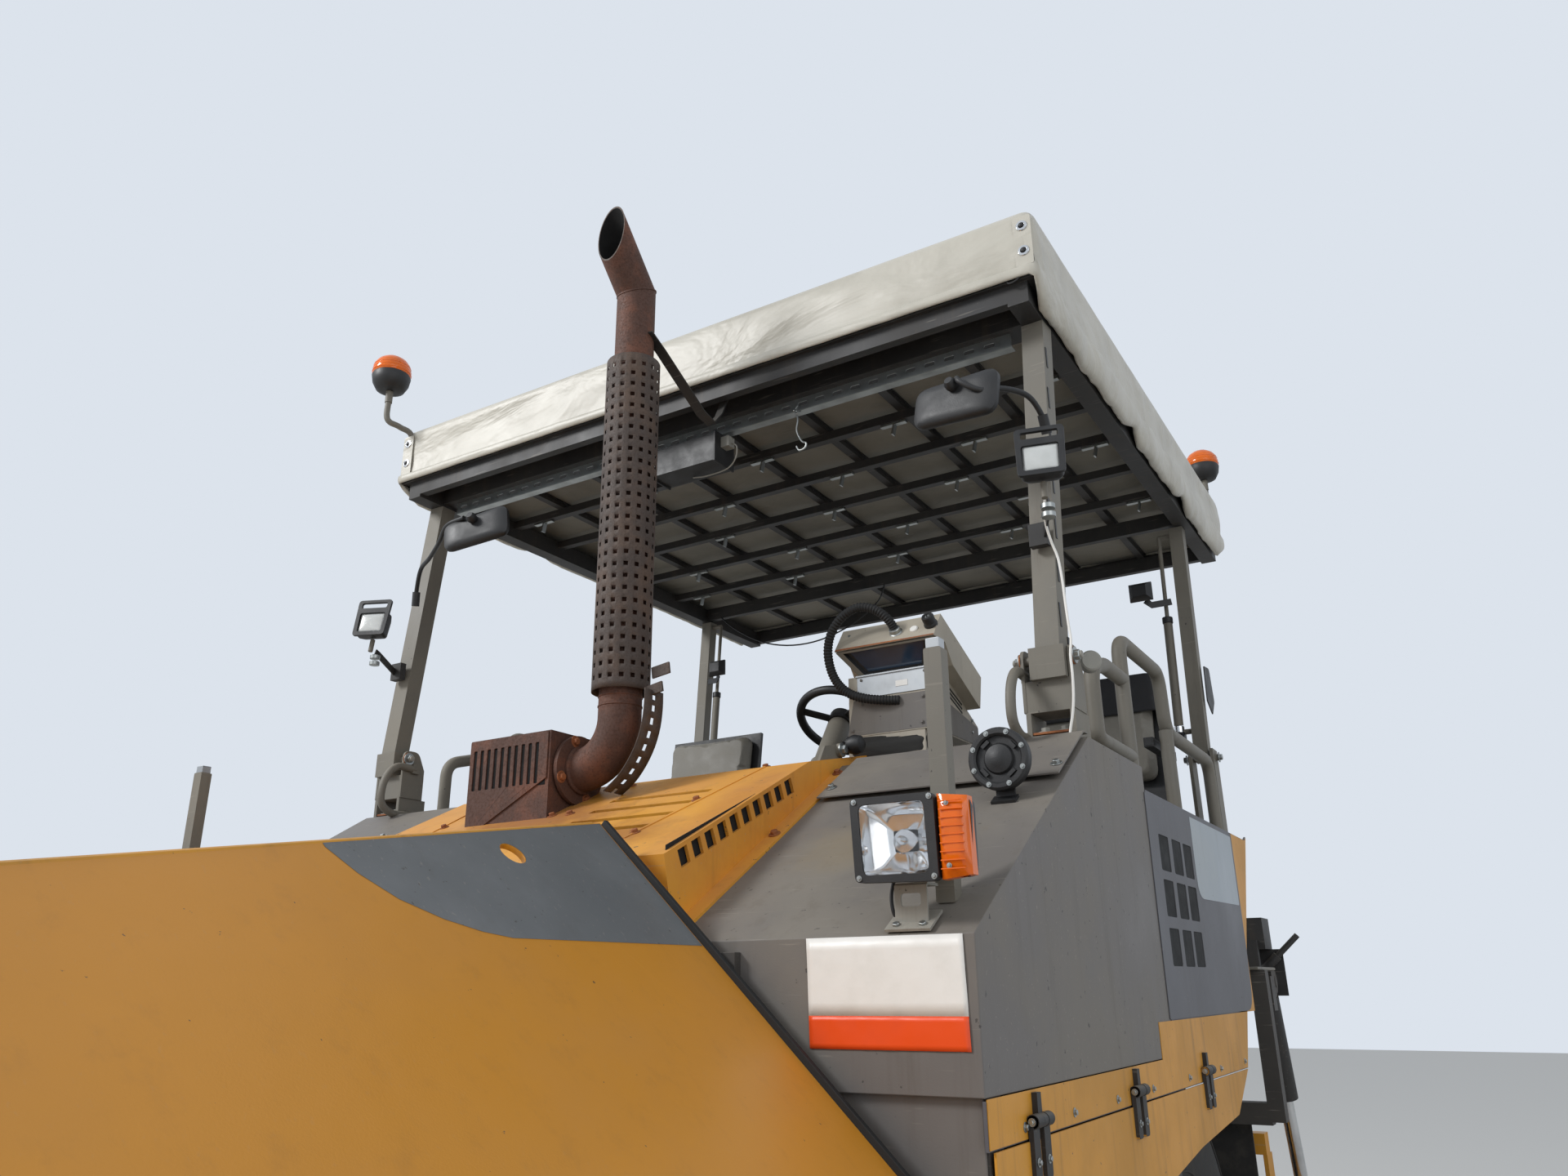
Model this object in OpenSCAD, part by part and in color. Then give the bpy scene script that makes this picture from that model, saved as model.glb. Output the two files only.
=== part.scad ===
// Wheeled asphalt paver: folding hopper wings, sun canopy, floating extending screed.
// Millimetres, ground at z = 0, front faces -Y, left side is +X.
// Shapes are written in stations: y = 0 is the front face of the tractor body.

/* [Tractor] */
// Width over the side panels
body_w = 2500; // [2440:10:2560]
// Thickness of the body sheet metal
sheet_t = 6; // [4:1:10]
// Thickness of the main frame side plates
frame_t = 20; // [15:1:30]
// Height of the operator floor above ground
deck_z = 1650; // [1640:1:1665]
// Depth of the hopper side flap
flap_h = 165; // [140:5:180]

/* [Wheels] */
// Drive tyre outside diameter
tyre_d = 1380; // [1340:10:1400]
// Drive tyre width
tyre_w = 430; // [400:5:440]
// Drive rim diameter under the tyre bead
rim_d = 640; // [580:10:700]
// Front solid wheel diameter
front_d = 560; // [520:5:580]
// Front solid wheel width
front_w = 300; // [260:5:310]

/* [Hopper] */
// Plate thickness of the wings
wing_t = 10; // [8:1:14]
// Length of the wing wall at its rear edge
wall_rear_l = 990; // [940:5:1020]
// Length of the wing wall at its front edge
wall_front_l = 590; // [540:5:640]
// Push roller diameter
roller_d = 180; // [150:5:190]

/* [Exhaust] */
// Stack pipe diameter
stack_d = 115; // [90:5:125]
// Guard tube diameter round the stack
guard_d = 155; // [145:1:175]
// Top of the guard tube
guard_top_z = 3330; // [3200:10:3400]

/* [Canopy] */
// Underside of the canopy cover
cover_z = 3420; // [3415:1:3425]
// Depth of the cover valance
cover_h = 200; // [150:5:230]
// Width over the canopy cover
cover_w = 2490; // [2480:5:2520]
// Size of the square canopy posts
post_s = 62; // [56:2:76]

/* [Operator place] */
// Guard rail tube diameter
rail_d = 42; // [34:2:48]
// Steering wheel diameter
steer_d = 300; // [280:5:380]
// Seat width
seat_w = 460; // [420:10:480]

/* [Screed] */
// Tow arm thickness
arm_t = 80; // [60:5:90]
// Auger diameter
auger_d = 360; // [300:10:380]
// Screed plate thickness
plate_t = 30; // [20:1:40]
// Guide rod diameter of the extensions
guide_d = 60; // [50:2:66]

/* [Hidden] */
$fn = 48;
fine = 96;
mid_y = 1150;
half_w = body_w / 2;
// inner wall of the side boxes
side_x = half_w - 250;
// inner face of the roof's side rails, and their width
roof_x = cover_w / 2 - 95;
roof_w = 60;
eps = 1;
seat = 0.3;
fit = 1;
steel = "#55504c";
paint = "#e0a035";
warm_grey = "#6a6662";
black = "#262524";
rubber = "#1d1c1b";
pale = "#bdb8a8";
rust = "#5a3c2d";
amber = "#e07a1a";

// main frame stations
frame_x = 600;
front_y = -1700;
rear_y = 2950;
tail_y = 2800;
tail_z = 700;
frame_z0 = 330;
hop_z = 625;
roof_z = 1140;
bear_z = deck_z - 10;
cowl_rear_y = 1220;
step_y = 1010;
wall_x = 790;
wall_z = 1660;
mouth_z = 1000;
outrigger_ys = [20, 1120, 2640];
beam_w = 60;
beam_top_z = 1210;
upright_x = half_w - 60;

// hopper wings
hinge_x = 800;
hinge_z = 640;
floor_l = 720;
floor_a = 56.3;
wall_a = 137;
wing_y0 = -1750;
wing_y1 = -40;
hinge_od = 56;
hinge_pin_d = 30;
bend_x = hinge_x + floor_l * cos(floor_a);
bend_z = hinge_z + floor_l * sin(floor_a);
frame_knuckles = [[-1700, -1490], [-1000, -700], [-350, -60]];
wing_knuckles = [[-1480, -1010], [-690, -360]];

// wing cylinders, in the plane y = cyl_y
cyl_y = -1430;
cyl_base = [870, 300];
cyl_s = 430;
cyl_drop = 60;
cyl_eye = [hinge_x + cyl_s * cos(floor_a) + cyl_drop * sin(floor_a),
           hinge_z + cyl_s * sin(floor_a) - cyl_drop * cos(floor_a)];
cyl_len = norm(cyl_eye - cyl_base);
cyl_a = atan2(cyl_eye[1] - cyl_base[1], cyl_eye[0] - cyl_base[0]);
barrel_d = 80;
barrel_l = 400;
rod_d = 45;
eye_d = 78;
eye_w = 40;
pin_d = 26;
eye_play = 12.5;

// front wheels and bogies
front_x = 950;
front_z = front_d / 2;
front_ys = [-930, -270];
king_x = 735;
king_d = 40;
bogie_x = 630;
bogie_w = 60;
bogie_z0 = 180;
bogie_z1 = 400;
knuckle_d = 76;
stub_d = 60;

// drive wheels
drive_x = 855;
drive_y = 1900;
drive_z = tyre_d / 2;
hub_d = 180;

// tow arms and screed
tow_y = 500;
tow_z = 450;
arm_x = 1130;
tow_pin_d = 60;
screed_y0 = 3300;
screed_y1 = 3700;
screed_x = 1240;
ext_y0 = 3720;
ext_y1 = 4050;
ext_x = 1250;
walk_y = 4250;
guide_ys = [3770, 3960];
guide_z_l = 480;
guide_z_r = 590;
lift_x = arm_x + arm_t / 2;
lift_top = [3010, 1600];
lift_eye = [3250, 800];
lift_len = norm(lift_eye - lift_top);
lift_a = atan2(lift_eye[1] - lift_top[1], lift_eye[0] - lift_top[0]);
lift_d = 90;
lift_barrel_l = 430;

// augers
auger_y = 3000;
auger_z = 350;
auger_x0 = 90;
auger_x1 = 1085;
auger_shaft_d = 80;

// conveyors
conv_r = 100;
conv_z = 500;
conv_y0 = -1560;
conv_y1 = 2670;
conv_x0 = 50;
conv_x1 = 570;
band_t = 16;
slat_pitch = 300;

// cowl outline, station y and z
nose_z = 1681;
nose_y = 760;
crown_z = 2140;
function nose_at(y) = nose_z + y * (crown_z - nose_z) / nose_y;
function hood_at(y) = hood_z0 + (y - hood_y0) * (hood_z1 - hood_z0) / (hood_y1 - hood_y0);
hood_y0 = 10;
hood_z0 = 1850;
hood_y1 = 590;
hood_z1 = 2125;
hood_a = atan2(hood_z1 - hood_z0, hood_y1 - hood_y0);
vent_n = 10;
vent_pitch = 46;
vent_w = 34;
vent_h = 37;
grey_z = 1431;
band_z = 1355;
side_top_z = 2080;
door_vent_ys = [1300, 1441, 1570];
door_vent_zs = [1640, 1763, 1880];

// exhaust
stack_x = 105;
stack_y = 450;
elbow_z = 2270;
bend_r = 125;
mitre_z = 3574;
lean_a = 42;
mitre_r = 75;
bead_w = 8;
mitre_s = mitre_r * tan(lean_a / 2);
tip_l = 260;

// canopy
cover_y0 = 734;
cover_y1 = 3116;
cover_t = 5;
frame_top_z = cover_z - 20;

module stn() { translate([0, -mid_y, 0]) children(); }
module both() { children(); mirror([1, 0, 0]) children(); }
module bx(x, y, z) {
    translate([x[0], y[0], z[0]]) cube([x[1] - x[0], y[1] - y[0], z[1] - z[0]]);
}
module rod_x(x, y, z, d, f = $fn) {
    translate([x[0], y, z]) rotate([0, 90, 0]) cylinder(d = d, h = x[1] - x[0], $fn = f);
}
module rod_y(x, y, z, d, f = $fn) {
    translate([x, y[0], z]) rotate([-90, 0, 0]) cylinder(d = d, h = y[1] - y[0], $fn = f);
}
module rod_z(x, y, z, d, f = $fn) {
    translate([x, y, z[0]]) cylinder(d = d, h = z[1] - z[0], $fn = f);
}
module bar(p, q, d, f = 24) {
    v = q - p;
    translate(p) rotate([0, acos(v[2] / norm(v)), atan2(v[1], v[0])])
        cylinder(d = d, h = norm(v), $fn = f);
}
module sq_bar(p, q, w, h) {
    v = q - p;
    translate(p) rotate([0, acos(v[2] / norm(v)), atan2(v[1], v[0])])
        translate([-w / 2, -h / 2, 0]) cube([w, h, norm(v)]);
}
module prism_x(x, pts) {
    translate([x[0], 0, 0]) rotate([90, 0, 90]) linear_extrude(x[1] - x[0]) polygon(pts);
}
module prism_y(y, pts) {
    translate([0, y[1], 0]) rotate([90, 0, 0]) linear_extrude(y[1] - y[0]) polygon(pts);
}

// welded main frame: stepped side plates, hopper back wall, cross sheets and centre spine
module main_frame() color(steel) stn() {
    both() prism_x([frame_x - frame_t, frame_x], [[front_y, frame_z0], [tail_y, frame_z0],
        [tail_y, tail_z], [rear_y, tail_z], [rear_y, bear_z], [step_y, bear_z],
        [step_y, roof_z], [0, roof_z], [0, hop_z], [front_y, hop_z]]);
    // hopper back wall with the tunnel mouth
    difference() {
        bx([-wall_x, wall_x], [-20, 0], [hop_z, wall_z]);
        bx([-frame_x + frame_t, frame_x - frame_t], [-21, 1], [0, mouth_z]);
    }
    bx([-frame_x + 1, frame_x - 1], [front_y, front_y + 20], [frame_z0, 380]);
    bx([-frame_x + 1, frame_x - 1], [0, rear_y], [roof_z - 10, roof_z + 10]);
    for (y = outrigger_ys) bx([-frame_x, frame_x], [y, y + beam_w], [roof_z, beam_top_z]);
    bx([-frame_x + 1, frame_x - 1], [rear_y - 20, rear_y], [roof_z, bear_z]);
    // centre spine between the conveyors
    bx([-20, 20], [front_y + 10, tail_y], [conv_z - 40, conv_z + 140]);
    bx([-frame_x + 1, frame_x - 1], [tail_y - 20, tail_y], [frame_z0, 385]);
    bx([-20, 20], [tail_y - 20, tail_y], [frame_z0, conv_z]);
    bx([-20, 20], [front_y, front_y + 20], [frame_z0, conv_z + 140]);
}

// hopper base plates on ribs, with the frame's half of the wing hinges and the hinge pins
module hopper_base() color(steel) stn() both() {
    bx([frame_x, 765], [front_y, -20], [hop_z - 15, hop_z]);
    for (y = [front_y, -1180, -615, -60])
        prism_y([y, y + 15], [[frame_x, hop_z - 5], [frame_x, 460], [690, hop_z - 5]]);
    for (k = frame_knuckles) {
        rod_y(hinge_x, k, hinge_z, hinge_od);
        bx([760, hinge_x], k, [hop_z - 13, hop_z + 5]);
    }
    rod_y(hinge_x, [front_y, -60], hinge_z, hinge_pin_d);
}

// cross beam ends, uprights behind the side panels and the lift cylinder lugs
module outriggers() color(steel) stn() both() {
    for (y = outrigger_ys) bx([frame_x, upright_x + 10], [y, y + beam_w], [roof_z, beam_top_z]);
    for (u = [[outrigger_ys[0], bear_z], [outrigger_ys[1], 1980], [outrigger_ys[2], bear_z]])
        bx([upright_x, half_w - sheet_t], [u[0], u[0] + beam_w], [roof_z + 10, u[1]]);
    bx([frame_x, half_w - 30], [rear_y - 70, rear_y], [1500, 1620]);
    for (s = [-1, 1]) translate([lift_x + s * 38, 0, 0]) hull() {
        rod_x([-7, 7], lift_top[0], lift_top[1], 80, 32);
        bx([-7, 7], [rear_y - 10, rear_y], [1530, bear_z - 4]);
    }
    rod_x([lift_x - 48, lift_x + 48], lift_top[0], lift_top[1], 40);
}

// wing cylinder brackets and tow points with their pins
module frame_brackets() color(steel) stn() both() {
    bx([frame_x, cyl_base[0] - 40], [cyl_y - 60, cyl_y + 60], [frame_z0, 420]);
    for (s = [-1, 1]) translate([0, cyl_y + s * 31, 0]) hull() {
        rod_y(cyl_base[0], [-7, 7], cyl_base[1], eye_d, 32);
        bx([cyl_base[0] - 70, cyl_base[0] - 45], [-7, 7], [frame_z0, 342]);
    }
    rod_y(cyl_base[0], [cyl_y - 40, cyl_y + 40], cyl_base[1], pin_d);
    bx([frame_x, arm_x - 30], [tow_y - 80, tow_y + 80], [tow_z - 70, tow_z + 70]);
    rod_x([arm_x - 35, arm_x + arm_t + 15], tow_y, tow_z, tow_pin_d);
    rod_x([arm_x + arm_t + 6, arm_x + arm_t + 16], tow_y, tow_z, tow_pin_d + 30);
}

// two slat conveyor loops, each a fixed band round its end shafts
module conveyors() color(steel) stn() {
    both() {
        translate([conv_x0, 0, 0]) rotate([90, 0, 90])
            linear_extrude(conv_x1 - conv_x0) difference() {
                stadium(conv_r);
                stadium(conv_r - band_t);
            }
        for (i = [0 : floor((conv_y1 - conv_y0) / slat_pitch)])
            bx([conv_x0, conv_x1], [conv_y0 + i * slat_pitch, conv_y0 + i * slat_pitch + 40],
                [conv_z + conv_r - eps, conv_z + conv_r + 14]);
        for (y = [conv_y0, conv_y1]) {
            rod_x([20, frame_x - frame_t], y, conv_z, 60);
            for (x = [conv_x0 + 30, conv_x1 - 60])
                rod_x([x, x + 30], y, conv_z, 2 * (conv_r - band_t) + 1);
        }
    }
}
module stadium(r) {
    translate([conv_y0, conv_z]) circle(r, $fn = 48);
    translate([conv_y1, conv_z]) circle(r, $fn = 48);
    translate([conv_y0, conv_z - r]) square([conv_y1 - conv_y0, 2 * r]);
}

// push beam with the axles of the two truck push rollers and the front towing eyes
module push_beam() color(paint) stn() {
    difference() {
        bx([-1000, 1000], [front_y - 60, front_y], [390, 570]);
        both() rod_y(930, [front_y - 70, front_y + 10], 480, 60);
    }
    both() {
        for (x = [270, 810]) hull() {
            rod_x([x, x + 20], front_y - 160, 480, 80, 32);
            bx([x, x + 20], [front_y - 65, front_y - 55], [410, 550]);
        }
        rod_x([260, 840], front_y - 160, 480, 40);
    }
}
module push_roller() {
    difference() {
        rod_x([300, 800], front_y - 160, 480, roller_d, fine);
        rod_x([290, 810], front_y - 160, 480, 40 + 2 * fit);
    }
}
module push_roller_l() color(steel) stn() { push_roller(); }
module push_roller_r() color(steel) stn() mirror([1, 0, 0]) { push_roller(); }

// engine as one plain block under the cowl
module engine_block() color(steel) stn() {
    bx([-430, 430], [150, 950], [roof_z + 10, 1690]);
}

// front face, sloping nose, flat crown and cheeks of the tractor body
module front_cowls() color(warm_grey) stn() {
    t = sheet_t;
    prism_x([-half_w, half_w], [[0, grey_z], [0, nose_z], [nose_y, crown_z],
        [cowl_rear_y, crown_z], [cowl_rear_y, crown_z - t], [nose_y + t / 3, crown_z - t],
        [t, nose_at(t) - 1.2 * t], [t, grey_z]]);
    both() prism_x([half_w - t, half_w], [[0, grey_z], [0, nose_z], [nose_y, crown_z],
        [cowl_rear_y, crown_z], [cowl_rear_y, grey_z]]);
    // rear bulkhead toward the operator place
    bx([-half_w + 1, half_w - 1], [cowl_rear_y - t, cowl_rear_y], [deck_z + 1, crown_z - 1]);
    // set-back lower front panel
    bx([-half_w + 10, half_w - 10], [t - 1, 20], [grey_z, grey_z + t]);
    bx([-half_w + 10, half_w - 10], [20 - t, 20], [1180, grey_z + t]);
}

// side boxes with the lower band, over-wheel floor and slanted rear end
module side_shells() color(warm_grey) stn() both() {
    t = sheet_t;
    y0 = cowl_rear_y + 6;
    difference() {
        prism_x([half_w - t, half_w], [[2, band_z], [2085, band_z], [2600, 2095],
            [2560, side_top_z], [y0, side_top_z], [y0, grey_z - 4], [2, grey_z - 4]]);
        // nine slotted vents in the door
        for (y = door_vent_ys, z = door_vent_zs, i = [0 : 5])
            bx([half_w - t - 1, half_w + 1], [y + 8 + i * 16, y + 16 + i * 16], [z, z + 94]);
    }
    bx([side_x, half_w], [y0, 2588], [side_top_z - t, side_top_z]);
    bx([side_x, side_x + t], [y0, 2580], [deck_z - 30, side_top_z]);
    prism_x([side_x, half_w], [[2589, side_top_z], [2589 - 1.3 * t, side_top_z],
        [2130 - 1.3 * t, band_z + 65], [2130, band_z + 65]]);
    bx([frame_x, half_w], [1186, 2110], [band_z + 45, band_z + 45 + t]);
}

// raised engine hood with side vents and top louvres
module hood() color(paint) stn() {
    difference() {
        prism_x([-600, 600], [[45, nose_at(45) + seat], [hood_y0, hood_z0],
            [hood_y1, hood_z1], [900, 2190], [900, crown_z + seat], [nose_y, crown_z + seat]]);
        prism_x([-592, 592], [[60, 1700], [22, 1847], [592, 2117], [892, 2180], [892, 2100],
            [nose_y, 2100]]);
        // ten side vents in a row
        both() for (i = [0 : vent_n - 1])
            translate([580, 70 + i * vent_pitch, hood_at(70 + i * vent_pitch) - 51])
                rotate([hood_a, 0, 0]) cube([40, vent_w, vent_h]);
        // two groups of long louvres, four on the left and two before the exhaust box
        for (g = [[104, 3], [-413, 1]], i = [0 : g[1]])
            translate([g[0], 205 + i * 76, hood_at(205 + i * 76) - 30])
                rotate([hood_a, 0, 0]) cube([309, 24, 60]);
    }
    both() prism_x([600 - eps, 640], [[45, nose_at(45) + seat], [45, nose_at(45) + 7],
        [nose_y - 60, nose_at(nose_y - 60) + 7],
        [nose_y - 60, nose_at(nose_y - 60) + seat]]);
}

// exhaust box, elbow, vertical pipe and slanted outlet
module exhaust_stack() color(rust) stn() {
    difference() {
        prism_x([-330, stack_x - bend_r - 20], [[350, hood_at(350) + seat],
            [550, hood_at(550) + seat], [550, 2240], [350, 2240]]);
        for (i = [0 : 9]) bx([-318 + i * 25, -306 + i * 25], [345, 360], [2090, 2215]);
    }
    rod_x([stack_x - bend_r - 22, stack_x - bend_r], stack_y, elbow_z - bend_r, 150);
    translate([stack_x - bend_r, stack_y, elbow_z]) rotate([90, 0, 0]) rotate([0, 0, -90])
        rotate_extrude(angle = 90) translate([bend_r, 0]) circle(d = stack_d);
    rod_z(stack_x, stack_y, [elbow_z, mitre_z - mitre_s], stack_d);
    translate([stack_x, stack_y - mitre_r, mitre_z - mitre_s]) rotate([90, 0, 90])
        rotate_extrude(angle = lean_a) translate([mitre_r, 0]) circle(d = stack_d);
    // slanted outlet with its weld bead
    translate([stack_x, stack_y, mitre_z]) rotate([lean_a, 0, 0]) {
        difference() {
            translate([0, 0, mitre_s]) cylinder(d = stack_d, h = tip_l - mitre_s);
            translate([0, 0, 70]) cylinder(d = stack_d - 8, h = tip_l);
        }
        translate([0, 0, mitre_s - bead_w / 2]) cylinder(d = stack_d + 5, h = bead_w);
    }
    // brace back to the canopy front beam
    bx([stack_x - 15, stack_x + 15], [stack_y + stack_d / 2 - 4, cover_y0 + 19.7],
        [frame_top_z - 22, frame_top_z - 14]);
}

// perforated guard tube, plain here
module exhaust_guard() color(rust) stn() {
    difference() {
        rod_z(stack_x, stack_y, [2350, guard_top_z], guard_d, fine);
        rod_z(stack_x, stack_y, [2349, guard_top_z + 1], guard_d - 6, fine);
    }
    for (z = [2380, 2830, guard_top_z - 40]) difference() {
        rod_z(stack_x, stack_y, [z, z + 8], guard_d - 5, fine);
        rod_z(stack_x, stack_y, [z - 1, z + 9], stack_d + 2 * seat, fine);
    }
}

// operator floor, pedestals of the rail and rear step
module operator_deck() color(steel) stn() {
    bx([-side_x, side_x], [cowl_rear_y, rear_y], [bear_z, deck_z]);
    both() bx([side_x - 1, half_w - 20], [2600, rear_y], [bear_z, deck_z]);
    bx([-side_x, side_x], [rear_y, rear_y + 8], [1420, deck_z]);
    bx([-320, 320], [rear_y, rear_y + 180], [1290, 1310]);
    both() bx([320, 335], [rear_y, rear_y + 180], [1270, 1500]);
}

// console on the crown: base, switch desk falling toward the operator, display head and shade
con_x = 670;
con_z = 2245;
module console() color(steel) stn() {
    bx([con_x - 125, con_x + 105], [902, 1080], [crown_z, con_z]);
    prism_x([con_x - 120, con_x + 125], [[900, con_z - 1], [900, 2412], [985, 2424], [1228, 2304],
        [1228, con_z - 1]]);
    bx([con_x - 84, con_x + 119], [915, 960], [2411, 2482]);
    prism_x([con_x - 138, con_x + 165], [[855, 2482], [911, 2556], [1179, 2436], [1157, 2340],
        [975, 2425], [930, 2480]]);
    // steering column
    bx([250, 330], [1100, 1215], [crown_z, crown_z + 60]);
    at_column() translate([0, 0, -290]) cylinder(d = 60, h = 290 - 15.3);
}
module at_column() { translate([290, 1330, 2405]) rotate([-35, 0, 0]) children(); }
module steering_wheel() color(black) stn() {
    at_column() {
        rotate_extrude($fn = fine) translate([steer_d / 2 - 14, 0]) circle(d = 28);
        cylinder(d = 80, h = 30, center = true);
        for (a = [90, 210, 330]) rotate([0, 0, a]) translate([20, -12, -5])
            cube([steer_d / 2 - 34, 24, 8]);
    }
}

rail_x = half_w - 58;
// main rail from its front foot over the loop to the rear foot, and the grab rail before it
rail_path = [[1345, side_top_z], [1345, 2505], [1375, 2535], [1760, 2535], [1795, 2505],
    [1810, 2346], [2410, 2346], [2410, side_top_z]];
grab_path = [[1345, 2414], [1165, 2414], [1050, 2385], [1035, 2350], [1035, 2215], [1070, 2192],
    [1345, 2192]];

// two swivel seats beside the side boxes
seat_xs = [885, -785];
module seat_frames() color(black) stn() for (x = seat_xs) {
    rod_z(x - sign(x) * 60, 1900, [deck_z, 2100], 120);
    bx([x - seat_w / 2, x + seat_w / 2], [1660, 2120], [2090, 2110]);
    translate([x, 2110, 2098]) rotate([-8, 0, 0]) translate([-seat_w / 2 + 2, -8, -2])
        cube([seat_w - 4, 16, 530]);
    both_at(x) bx([seat_w / 2 + 12, seat_w / 2 + 42], [1780, 2080], [2300, 2330]);
    both_at(x) bx([seat_w / 2 + 14, seat_w / 2 + 30], [2042, 2078], [2092, 2310]);
    both_at(x) bx([seat_w / 2 - 10, seat_w / 2 + 20], [2045, 2075], [2094, 2106]);
}
module both_at(x) { translate([x, 0, 0]) both() children(); }
module seat_cushions() color("#6b675c") stn() for (x = seat_xs) {
    bx([x - seat_w / 2 + 10, x + seat_w / 2 - 10], [1660, 2080], [2110.3, 2200]);
    translate([x, 2110, 2098]) rotate([-8, 0, 0]) translate([-seat_w / 2 + 10, -78.3, 125])
        cube([seat_w - 20, 70, 395]);
}

// tubular guard rails, front marker posts and grab loops
module guard_rails() color(black) stn() {
    both() {
        for (r = [rail_path, grab_path]) for (i = [0 : len(r) - 2]) {
            bar([rail_x, r[i][0], r[i][1]], [rail_x, r[i + 1][0], r[i + 1][1]], rail_d);
            if (r[i][1] > side_top_z) translate([rail_x, r[i][0], r[i][1]]) sphere(d = rail_d + 2);
        }
        rod_z(rail_x, 1810, [side_top_z, 2346], rail_d);
        for (y = [rail_path[0][0], 1810, rail_path[7][0]])
            rod_z(rail_x, y, [side_top_z, side_top_z + 8], 90);
        // marker posts on the nose
        prism_x([half_w - 105, half_w - 55],
            [[85, nose_at(85) + seat], [135, nose_at(135) + seat], [135, 2205],
            [85, 2205]]);
    }
    // rear rail
    bar([-700, rear_y - 40, 2560], [700, rear_y - 40, 2560], rail_d);
    for (x = [-700, 0, 700]) bar([x, rear_y - 40, deck_z], [x, rear_y - 40, 2560], rail_d);
    for (x = [-700, 700]) translate([x, rear_y - 40, 2560]) sphere(d = rail_d);
}

// tandem bogies with king pins
module front_bogies() color(steel) stn() both() {
    bx([bogie_x, bogie_x + bogie_w], [-1010, -190], [bogie_z0, bogie_z1]);
    rod_x([frame_x, bogie_x + bogie_w + 20], -600, 340, 110);
    for (y = front_ys) {
        for (z = [bogie_z0, bogie_z1 - 30])
            bx([bogie_x + bogie_w - eps, king_x + 40], [y - 45, y + 45], [z, z + 30]);
        rod_z(king_x, y, [bogie_z0 - 8, bogie_z1 + 8], king_d);
    }
}
module knuckle(y) {
    difference() {
        union() {
            rod_z(king_x, y, [bogie_z0 + 35, bogie_z1 - 35], knuckle_d);
            rod_x([king_x, front_x + 20], y, front_z, stub_d);
        }
        rod_z(king_x, y, [bogie_z0, bogie_z1], king_d + 2 * fit);
    }
    rod_x([front_x + 14, front_x + 26], y, front_z, stub_d + 24);
}
module front_tyre(y) {
    difference() {
        rod_x([front_x - front_w / 2, front_x + front_w / 2], y, front_z, front_d, fine);
        rod_x([front_x - front_w / 2 - 1, front_x - 40], y, front_z, 320, fine);
        rod_x([front_x + 10, front_x + front_w / 2 + 1], y, front_z, 320, fine);
        rod_x([front_x - 50, front_x + 20], y, front_z, stub_d + 2 * fit);
    }
}
module knuckle_l1() color(steel) stn() { knuckle(front_ys[0]); }
module knuckle_l2() color(steel) stn() { knuckle(front_ys[1]); }
module knuckle_r1() color(steel) stn() mirror([1, 0, 0]) { knuckle(front_ys[0]); }
module knuckle_r2() color(steel) stn() mirror([1, 0, 0]) { knuckle(front_ys[1]); }
module front_wheel_l1() color(rubber) stn() { front_tyre(front_ys[0]); }
module front_wheel_l2() color(rubber) stn() { front_tyre(front_ys[1]); }
module front_wheel_r1() color(rubber) stn() mirror([1, 0, 0]) { front_tyre(front_ys[0]); }
module front_wheel_r2() color(rubber) stn() mirror([1, 0, 0]) { front_tyre(front_ys[1]); }

// final drives
module rear_axle() color(steel) stn() both() {
    rod_x([frame_x, 690], drive_y, drive_z, 420);
    rod_x([frame_x, 880], drive_y, drive_z, hub_d);
    rod_x([878, 890], drive_y, drive_z, hub_d + 40);
}
module rear_rim() {
    w = tyre_w / 2;
    difference() {
        rod_x([drive_x - w + 20, drive_x + w - 20], drive_y, drive_z, rim_d, fine);
        rod_x([drive_x - w + 19, 830], drive_y, drive_z, rim_d - 30, fine);
        rod_x([860, drive_x + w], drive_y, drive_z, rim_d - 30, fine);
        rod_x([820, 870], drive_y, drive_z, hub_d + 2 * fit);
    }
}
module rear_tyre() {
    w = tyre_w / 2;
    r = tyre_d / 2;
    b = rim_d / 2;
    // half section from the bead over the bulged wall and the shoulder to the tread
    half = [[b, w - 42], [b + 28, w - 20], [b + 110, w - 3], [(b + r) / 2 + 10, w],
        [r - 90, w - 8], [r - 34, w - 26], [r - 10, w - 52], [r, w - 100]];
    n = len(half);
    translate([drive_x, drive_y, drive_z]) rotate([0, 90, 0]) rotate_extrude($fn = fine)
        polygon([for (i = [0 : 2 * n - 1]) i < n ? half[i]
            : [half[2 * n - 1 - i][0], -half[2 * n - 1 - i][1]]]);
}
module rear_rim_l() color(paint) stn() { rear_rim(); }
module rear_rim_r() color(paint) stn() mirror([1, 0, 0]) { rear_rim(); }
module rear_tyre_l() color(rubber) stn() { rear_tyre(); }
module rear_tyre_r() color(rubber) stn() mirror([1, 0, 0]) { rear_tyre(); }

function floor_pt(u, n) = [hinge_x + u * cos(floor_a) - n * sin(floor_a),
    hinge_z + u * sin(floor_a) + n * cos(floor_a)];
function wall_pt(u, n) = [bend_x + u * cos(wall_a) - n * sin(wall_a),
    bend_z + u * sin(wall_a) + n * cos(wall_a)];
function inner_bend() = [bend_x, bend_z] + wing_t / (1 + cos(wall_a - floor_a))
    * [-sin(floor_a) - sin(wall_a), cos(floor_a) + cos(wall_a)];
function wall_at(y) = wall_front_l + (y - wing_y0) * (wall_rear_l - wall_front_l)
    / (wing_y1 - wing_y0);
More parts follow.
